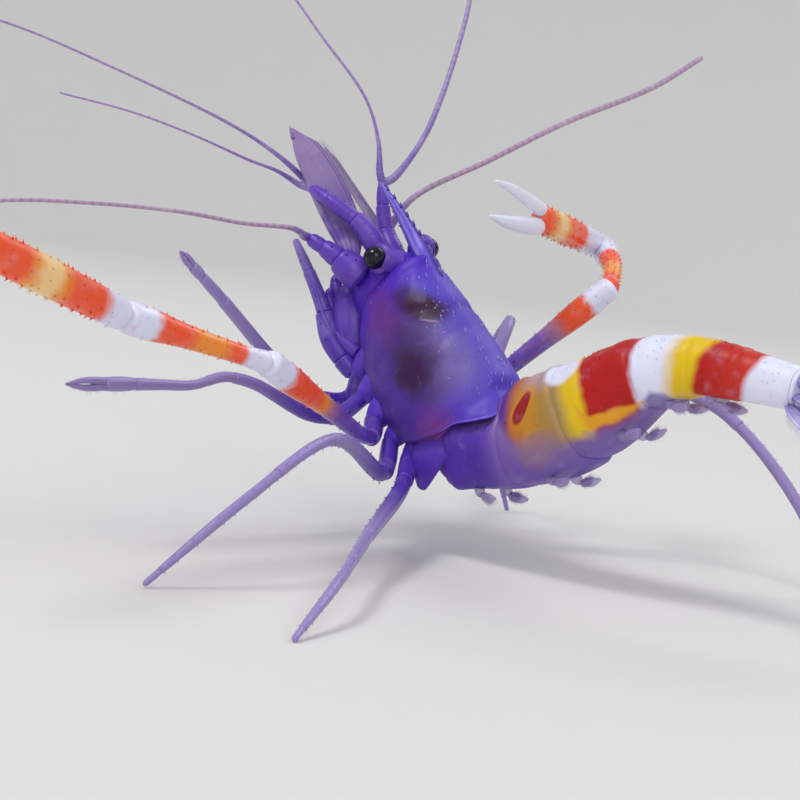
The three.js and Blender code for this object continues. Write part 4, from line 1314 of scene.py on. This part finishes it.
def claw_fingers(name, knuckle, tip, grip, opened, flat):
    piece = Piece(f"leg_3_{name}_fingers")
    for sign, thick in FINGERS.items():
        root = knuckle - 0.5 * grip + sign * 0.5 * opened
        end = tip + sign * FINGER_GAPE * opened
        finger = Path([root, root * 0.7 + end * 0.3 + sign * 0.1 * opened,
                       root * 0.35 + end * 0.65 + sign * 0.16 * opened, end])
        piece.tube(finger, thick, [0.9 * x for x in thick], up=flat, sides=24, rings=80, blunt=(0.5, 0.7))
        for t in np.linspace(0.3, 0.85, FINGER_TEETH):
            inner = finger.at(t) - sign * (float(profile(thick, t)) - 0.06) * opened
            piece.thorn(inner, inner - sign * 0.12 * opened, 0.09, (8, 0, 0), sides=7, rings=2)
    piece.build(WHITE_SHELL, "shell_white", f"leg_3_{name}_finger")


def claws():
    for name, side in SIDES.items():
        pose = CLAW_POSES[name]
        base, knee, wrist, hand, knuckle, tip = walk(
            leg_base(3, side), side, [(length,) + pose[part] for part, length in CLAW_ARM.items()])
        grip = unit(tip - knuckle)
        opened = unit(np.cross(np.cross(grip, UP), grip))
        flat = np.cross(opened, grip)
        claw_arm(name, base, knee, wrist)
        claw_carpus(name, wrist, (wrist + hand) / 2 + pose["bow"] * heading(*BOW, side), hand)
        claw_palm(name, hand, knuckle, flat)
        claw_fingers(name, knuckle, tip, grip, opened, flat)


# Walking legs: number, side, first two segments as length, yaw and rise, then the points of the shank
# and the foot, back, right and up from the floor below the orbit, and how stout the leg is.
STANCE = {
    "leg_4_left": (4, 1, (3.5, 128, -28), (11, 114, 14.5), [(8.8, -21.8, 4.6)], (7.8, -27.2), 1.0),
    "leg_5_left": (5, 1, (3.1, 128, -24), (11.5, 122.5, -8.8), [(16.6, -22.4, 2.0)], (19.2, -27.8), 1.0),
    "leg_4_right": (4, -1, (3.5, 84, 14), (11, 69, 41), [(-7, 16.2, 9.6)], (-5.5, 19.5), 1.0),
    "leg_5_right": (5, -1, (3.1, 110, 5), (11.5, 121, 28), [(13.5, 14.7, 11.1), (20.4, 15.6, 5.6)],
                    (22.7, 17), 1.3),
}
WALKING_WIDTH = (0.6, 0.54, 0.5, 0.44, 0.36, 0.31, 0.29, 0.26, 0.16)
# The rounded foot ends this high on the leg's middle line, so that its underside just clears the floor.
FOOT_LIFT = 0.15
# The wrist as a share of the way from knee to toe, and the toe's length.
WRIST = 0.38
TOE = 1.1


def walking_legs():
    for name, (number, side, ischium, merus, shank, foot, stout) in STANCE.items():
        points = walk(leg_base(number, side), side, [ischium, merus]) + [place(*p) for p in shank]
        path = Path(points + [place(*foot, FOOT_LIFT)])
        knee = (ischium[0] + merus[0]) / path.length
        wrist = knee + WRIST * (1 - knee)
        toe = 1 - TOE / path.length
        width = [stout * x for x in WALKING_WIDTH]
        piece = Piece(f"{name}_skin")
        jointed(piece, path, width, [ischium[0] / path.length, knee, wrist, toe], sides=16, density=7,
                last_blunt=1.2, waist=0.93)
        piece.thorns(path, width, (40, 140, 270), 1.5, 0.2, 0.045, span=(0.1, knee))
        piece.thorns(path, width, (60, 180, 300), 0.9, 0.16, 0.03, span=(knee, 0.97))
        piece.build(LIMB, "limb_lilac", name)


# ---- tail ----

# Length and upward bend of each somite, then its height and width at the far end, and its slot.
SOMITES = [
    (3.6, 45, 6.7, 5.9, "shell_amber"), (4.5, 65, 6.3, 5.6, "shell_amber"),
    (5.2, 75, 4.4, 4.4, "shell_orange"), (3.5, 56, 3.4, 3.3, "shell_amber"),
    (3, 39, 3.0, 2.8, "shell_orange"), (3.2, 36, 2.4, 2.2, "shell_white"),
]
TAIL_START = on_body(-CARAPACE_LENGTH - 0.2, 0, -3.9)
START_HEIGHT, START_WIDTH = 7.3, 5.8
TAIL_BEND = 36
TAIL_CORNERS = 0.87
TAIL_SIDES = 72
# The back of the first somites is lower by this share, where it slides in under the shell.
TAIL_SUNK = 0.27


def backwards(bend):
    angle = math.radians(bend)
    return turned(-math.cos(angle), 0, math.sin(angle))


joints = [TAIL_START]
for length, bend, *_ in SOMITES:
    joints.append(joints[-1] + length * backwards(bend))
SPINE = Path(joints)
ENDS = np.concatenate([[0], np.cumsum([s[0] for s in SOMITES])])
TAIL_LENGTH = ENDS[-1]
HEIGHTS = [START_HEIGHT] + [s[2] for s in SOMITES]
WIDTHS = [START_WIDTH] + [s[3] for s in SOMITES]


def tail_frame(s):
    """The tail's middle line at distances along it, with its directions along and up."""
    t = np.asarray(s, float) / TAIL_LENGTH
    along = SPINE.along(t)
    up = np.cross(along, BODY_LEFT)
    up /= np.linalg.norm(up, axis=-1, keepdims=True)
    up = up * np.sign(up @ BODY_UP)[..., None]
    return SPINE.at(t), along, up


def tail_size(s):
    """Half the tail's width and height."""
    return np.interp(s, ENDS, WIDTHS) / 2, np.interp(s, ENDS, HEIGHTS) / 2


def tail_ring(s, theta, scale):
    """Points of the tail's surface, s along it and theta round from its left side."""
    centre, _, up = tail_frame(s)
    wide, tall = tail_size(s)
    sunk = (1 - ease(s, 2.6, 5.0))[:, None] * ease(np.sin(theta), -0.1, 0.35)
    scale = scale * (1 - TAIL_SUNK * sunk)
    c, q = squarish(theta, TAIL_CORNERS)
    return (centre[:, None] + (wide[:, None] * scale * c)[..., None] * BODY_LEFT
            + (tall[:, None] * scale * q)[..., None] * up[:, None])


# Each somite starts this far under the one before and ends in a rounded lip, LIP either way of its end.
UNDERLAP = 0.3
LIP = 0.15


def somite_scale(i, share, past_lip, theta):
    """How far a somite's surface stands out from the plain tail, by the share of its length."""
    sleeve = 0.94 + 0.06 * ease(share, -0.08, 0.2) + 0.02 * ease(share, 0.55, 0.95)
    lip = 1 - 0.05 * np.clip(past_lip, 0, 1) ** 2
    low = np.clip(-np.sin(theta), 0, 1)
    middle, depth = (0.1, 0.17) if i == 0 else (0.55, 0.08)
    lobe = depth * bell(low - 0.78, 0.22)[None, :] * bell(share - middle, 0.42)[:, None]
    belly = -0.06 * ease(low, 0.85, 1.0)[None, :]
    ridge = 0.012 * np.sin(share * 22)[:, None] * ease(-np.sin(theta), 0.4, -0.4)[None, :]
    return (sleeve * lip)[:, None] * (1 + lobe + belly + ridge)


def somite_thorns(piece, i, start, length):
    """Short thorns lying backwards over a somite."""
    for _ in range(60 if i < 3 else 40):
        share = rng.uniform(0.3 if i == 0 else 0.15, 0.98)
        angle = math.radians(rng.uniform(-35, 215))
        where = start + share * length
        root = tail_ring(np.array([where]), np.array([[angle]]), 1.01)[0, 0]
        centre, along, _ = tail_frame(where)
        out = unit(root - centre)
        size = rng.uniform(0.09, 0.15)
        mark = (where, math.sin(angle), abs(math.cos(angle)) * float(tail_size(where)[0]))
        piece.thorn(root - 0.03 * out, root + size * unit(out + 1.2 * along), 0.038, mark)


def tail():
    theta = round_angles(TAIL_SIDES)
    for i, (start, stop) in enumerate(zip(ENDS, ENDS[1:])):
        lip = np.sin(np.linspace(0, math.pi / 2, 8))[1:]
        s = np.concatenate([np.linspace(start - UNDERLAP, stop - LIP, 34), stop - LIP + 2 * LIP * lip])
        scale = somite_scale(i, (s - start) / (stop - start), (s - stop + LIP) / (2 * LIP), theta)
        out = np.abs(np.cos(theta)) * tail_size(s)[0][:, None]
        piece = Piece(f"somite_{i + 1}_skin")
        piece.skin(tail_ring(s, theta[None, :], scale), marked(s[:, None], np.sin(theta), out))
        somite_thorns(piece, i, start, stop - start)
        piece.build(TAIL, SOMITES[i][4], f"somite_{i + 1}")
    piece = Piece("tail_muscle")
    s = np.linspace(-1.2, TAIL_LENGTH + 0.4, 120)
    grid = tail_ring(s, theta[None, :], 0.9 * np.ones((len(s), 1)))
    piece.skin(grid, marked(s[:, None], np.sin(theta), 0.0))
    piece.build(TAIL, "shell_amber")


TAIL_END = joints[-1]
TAIL_ALONG = backwards(TAIL_BEND)
TAIL_UP = unit(np.cross(TAIL_ALONG, BODY_LEFT))
TAIL_UP = TAIL_UP * np.sign(TAIL_UP @ BODY_UP)


def on_tail(back, left, up):
    return TAIL_END + back * TAIL_ALONG + left * BODY_LEFT + up * TAIL_UP


def fan_skin():
    s = Shader("fan_skin", rgb(206, 202, 240), roughness=0.34, alpha=0.92)
    s.mottle(0.5, 1.2, rgb(150, 132, 214), WHITE)
    s.paint(s.ease(s.x, 2.2, 0.4), rgb(120, 96, 190), 0.55)
    s.paint(s.ease(s.noise(0.5), 0.52, 0.66), rgb(84, 44, 150), 0.7)
    s.bump(0.25, 6.0)
    return s.done()


FAN = fan_skin()
FAN_RIBS = ((0.0, 0.09, 0.09), (0.35, 0.06, 0.04), (-0.35, 0.06, 0.04), (0.9, 0.1, 0.07))
# The fan's side blades: root and end back, left and up from the end of the tail, and half-widths.
UROPODS = {
    "endopod": ((0.2, 0.5, -0.35), (6.4, 1.7, -1.25), [0.3, 0.7, 0.92, 0.95, 0.85, 0.45]),
    "exopod": ((0.2, 0.7, -0.95), (6.2, 3.1, -2.9), [0.3, 0.85, 1.1, 1.15, 1.0, 0.5]),
}


def telson():
    """The middle blade of the fan, thorny, with a fringe at its end."""
    piece = Piece("telson_skin")
    path = Path([on_tail(0.1, 0, 0.5), on_tail(3.2, 0, 0.55), on_tail(6.2, 0, 0.45)])
    wide, tall = [0.72, 0.88, 0.8, 0.66, 0.4], [0.42, 0.42, 0.36, 0.3, 0.2]
    piece.tube(path, wide, tall, up=TAIL_UP, sides=36, rings=80, blunt=(0.5, 1.0))
    piece.thorns(path, wide, (60, 120), 0.8, 0.26, 0.06, up=TAIL_UP, b=tall, lean=1.4)
    piece.thorns(path, wide, (0, 180), 1.2, 0.3, 0.06, up=TAIL_UP, b=tall, lean=1.8)
    end = Path([on_tail(5.7, -0.45, 0.45), on_tail(6.25, 0, 0.45), on_tail(5.7, 0.45, 0.45)])
    hairs(piece, end, 36, 0.9, TAIL_ALONG, spread=0.3)
    piece.build(FAN, "shell_white", "telson")


def uropods():
    for name, side in SIDES.items():
        for kind, (root, end, width) in UROPODS.items():
            a, c = (on_tail(back, side * left, up) for back, left, up in (root, end))
            path = Path([a, (a + c) / 2 + 0.12 * TAIL_UP, c])
            across = side * BODY_LEFT - 0.35 * TAIL_UP
            piece = Piece(f"{kind}_{name}_skin")
            leaf = blade(piece, path, across, width, width, 0.08, FAN_RIBS, oblique=0.05)
            for column, sign in ((0, -1), (-1, 1)):
                fringe(piece, leaf, column, sign, 70, 0.75, (5, sign, 0))
            piece.build(FAN, "shell_white", f"{kind}_{name}")


PADDLE_LENGTH = 1.35
PADDLE_WIDTH = [0.14, 0.28, 0.32, 0.26, 0.07]
# The two paddles of each swimmeret: how far out, how long for PADDLE_LENGTH, and how far down.
PADDLES = ((0.3, 0.85, 0.16), (-0.2, 0.7225, 0.05))


def swimmerets():
    for i in range(5):
        centre, along, up = tail_frame((ENDS[i] + ENDS[i + 1]) / 2)
        belly = (HEIGHTS[i] + HEIGHTS[i + 1]) / 4
        for name, side in SIDES.items():
            out = side * BODY_LEFT
            root = centre - up * belly * 0.98 + 0.22 * WIDTHS[i + 1] * out
            knuckle = root - 0.3 * up + 0.3 * along + 0.15 * out
            piece = Piece(f"pleopod_{i + 1}_{name}_skin")
            piece.tube(Path([root + 0.3 * up, root, knuckle]), [0.34, 0.32, 0.26], sides=18, rings=18)
            for spread, reach, drop in PADDLES:
                tip = knuckle + reach * PADDLE_LENGTH * along - drop * up + spread * out
                path = Path([knuckle - 0.15 * along, (knuckle + tip) / 2 - 0.08 * up, tip])
                leaf = blade(piece, path, up + 0.5 * out, PADDLE_WIDTH, PADDLE_WIDTH, 0.04, ((0, 0.2, 0.05),),
                             rows=30, cols=11)
                for column, sign in ((0, -1), (-1, 1)):
                    fringe(piece, leaf, column, sign, 14, 0.3, (8, sign, 0), radius=0.01)
            piece.build(PADDLE, "limb_lilac", f"pleopod_{i + 1}_{name}")


carapace()
margin()
thorax()
head_block()
rostrum()
eyes()
feelers()
antennae()
mouth()
maxillipeds()
pincers()
claws()
walking_legs()
tail()
telson()
uropods()
swimmerets()

# ---- stage ----


def stand(made, where, x, z):
    """Puts a camera or a lamp at a place in metres, looking along -z with x to its right."""
    bpy.context.scene.collection.objects.link(made)
    matrix = np.eye(4)
    matrix[:3, 0], matrix[:3, 1], matrix[:3, 2] = x, np.cross(z, x), z
    matrix[:3, 3] = where
    made.matrix_world = Matrix(matrix.tolist())


CAMERA_DISTANCE = 115.0
CAMERA_TURN, CAMERA_RISE, CAMERA_ROLL = (math.radians(a) for a in (41, 5, 7.5))
AIM = place(1.924, -2.697, 9.2)
LENS = 83.25

towards = np.array([
    math.sin(CAMERA_TURN) * math.cos(CAMERA_RISE), -math.cos(CAMERA_TURN) * math.cos(CAMERA_RISE),
    math.sin(CAMERA_RISE),
])
level = unit(np.cross(UP, towards))
lift = np.cross(towards, level)
right = math.cos(CAMERA_ROLL) * level + math.sin(CAMERA_ROLL) * lift
camera_data = bpy.data.cameras.new("camera")
camera_data.lens = LENS
camera_data.clip_start = 0.001
camera = bpy.data.objects.new("camera", camera_data)
stand(camera, (AIM + CAMERA_DISTANCE * towards) * MM, right, towards)
bpy.context.scene.camera = camera

floor_look = Shader("floor_look", rgb(222, 220, 216), roughness=0.8, subsurface=0.0, coat=0.0)
floor_look.mottle(0.15, 0.02, rgb(214, 212, 208), rgb(228, 226, 222))
# The floor and the lamps are in metres.
FLAT_RADIUS, SWEEP_RADIUS, WALL_TOP = 0.6, 0.35, 0.5
LAMP_AIM = 0.012


def sweep():
    """A round floor whose far edge curves up, so that no horizon shows from any side."""
    flat = [(r, 0.0) for r in np.linspace(0.0005, FLAT_RADIUS, 16)]
    curve = [(FLAT_RADIUS + SWEEP_RADIUS * math.sin(a), SWEEP_RADIUS * (1 - math.cos(a)))
             for a in np.linspace(0, math.pi / 2, 16)[1:]]
    outline = np.array(flat + curve + [(FLAT_RADIUS + SWEEP_RADIUS, WALL_TOP)])
    reach, height = outline[:, :1], outline[:, 1:]
    sides = 96
    turn = round_angles(sides)
    points = marked(reach * np.cos(turn), reach * np.sin(turn), height)
    faces = [tuple(range(sides))] + [face[::-1] for face in ring_faces(len(outline), sides)]
    mesh = bpy.data.meshes.new("floor")
    mesh.from_pydata(points.reshape(-1, 3).tolist(), [], faces)
    mesh.materials.append(floor_look.done())
    mesh.shade_smooth()
    floor = bpy.data.objects.new("floor", mesh)
    bpy.context.scene.collection.objects.link(floor)


def lamp(name, offset, size, power):
    """A square lamp, in metres and watts, that looks from an offset at a point inside the animal."""
    light = bpy.data.lights.new(name, "AREA")
    light.size = size
    light.energy = power
    z = unit(np.array(offset))
    aim = np.array([0, 0, LAMP_AIM])
    stand(bpy.data.objects.new(name, light), offset + aim, unit(np.cross(UP, z)), z)


sweep()
lamp("key", (-0.16, -0.42, 0.72), 0.25, 2.9)
lamp("fill", (0.55, -0.4, 0.4), 0.4, 1.2)
lamp("back", (0.0, 0.6, 0.6), 0.4, 1.3)
world = bpy.data.worlds.new("studio")
world.use_nodes = True
sky = world.node_tree.nodes["Background"]
sky.inputs["Color"].default_value = (0.86, 0.9, 1.0, 1)
sky.inputs["Strength"].default_value = 0.55
bpy.context.scene.world = world
bpy.context.scene.view_settings.view_transform = "Standard"
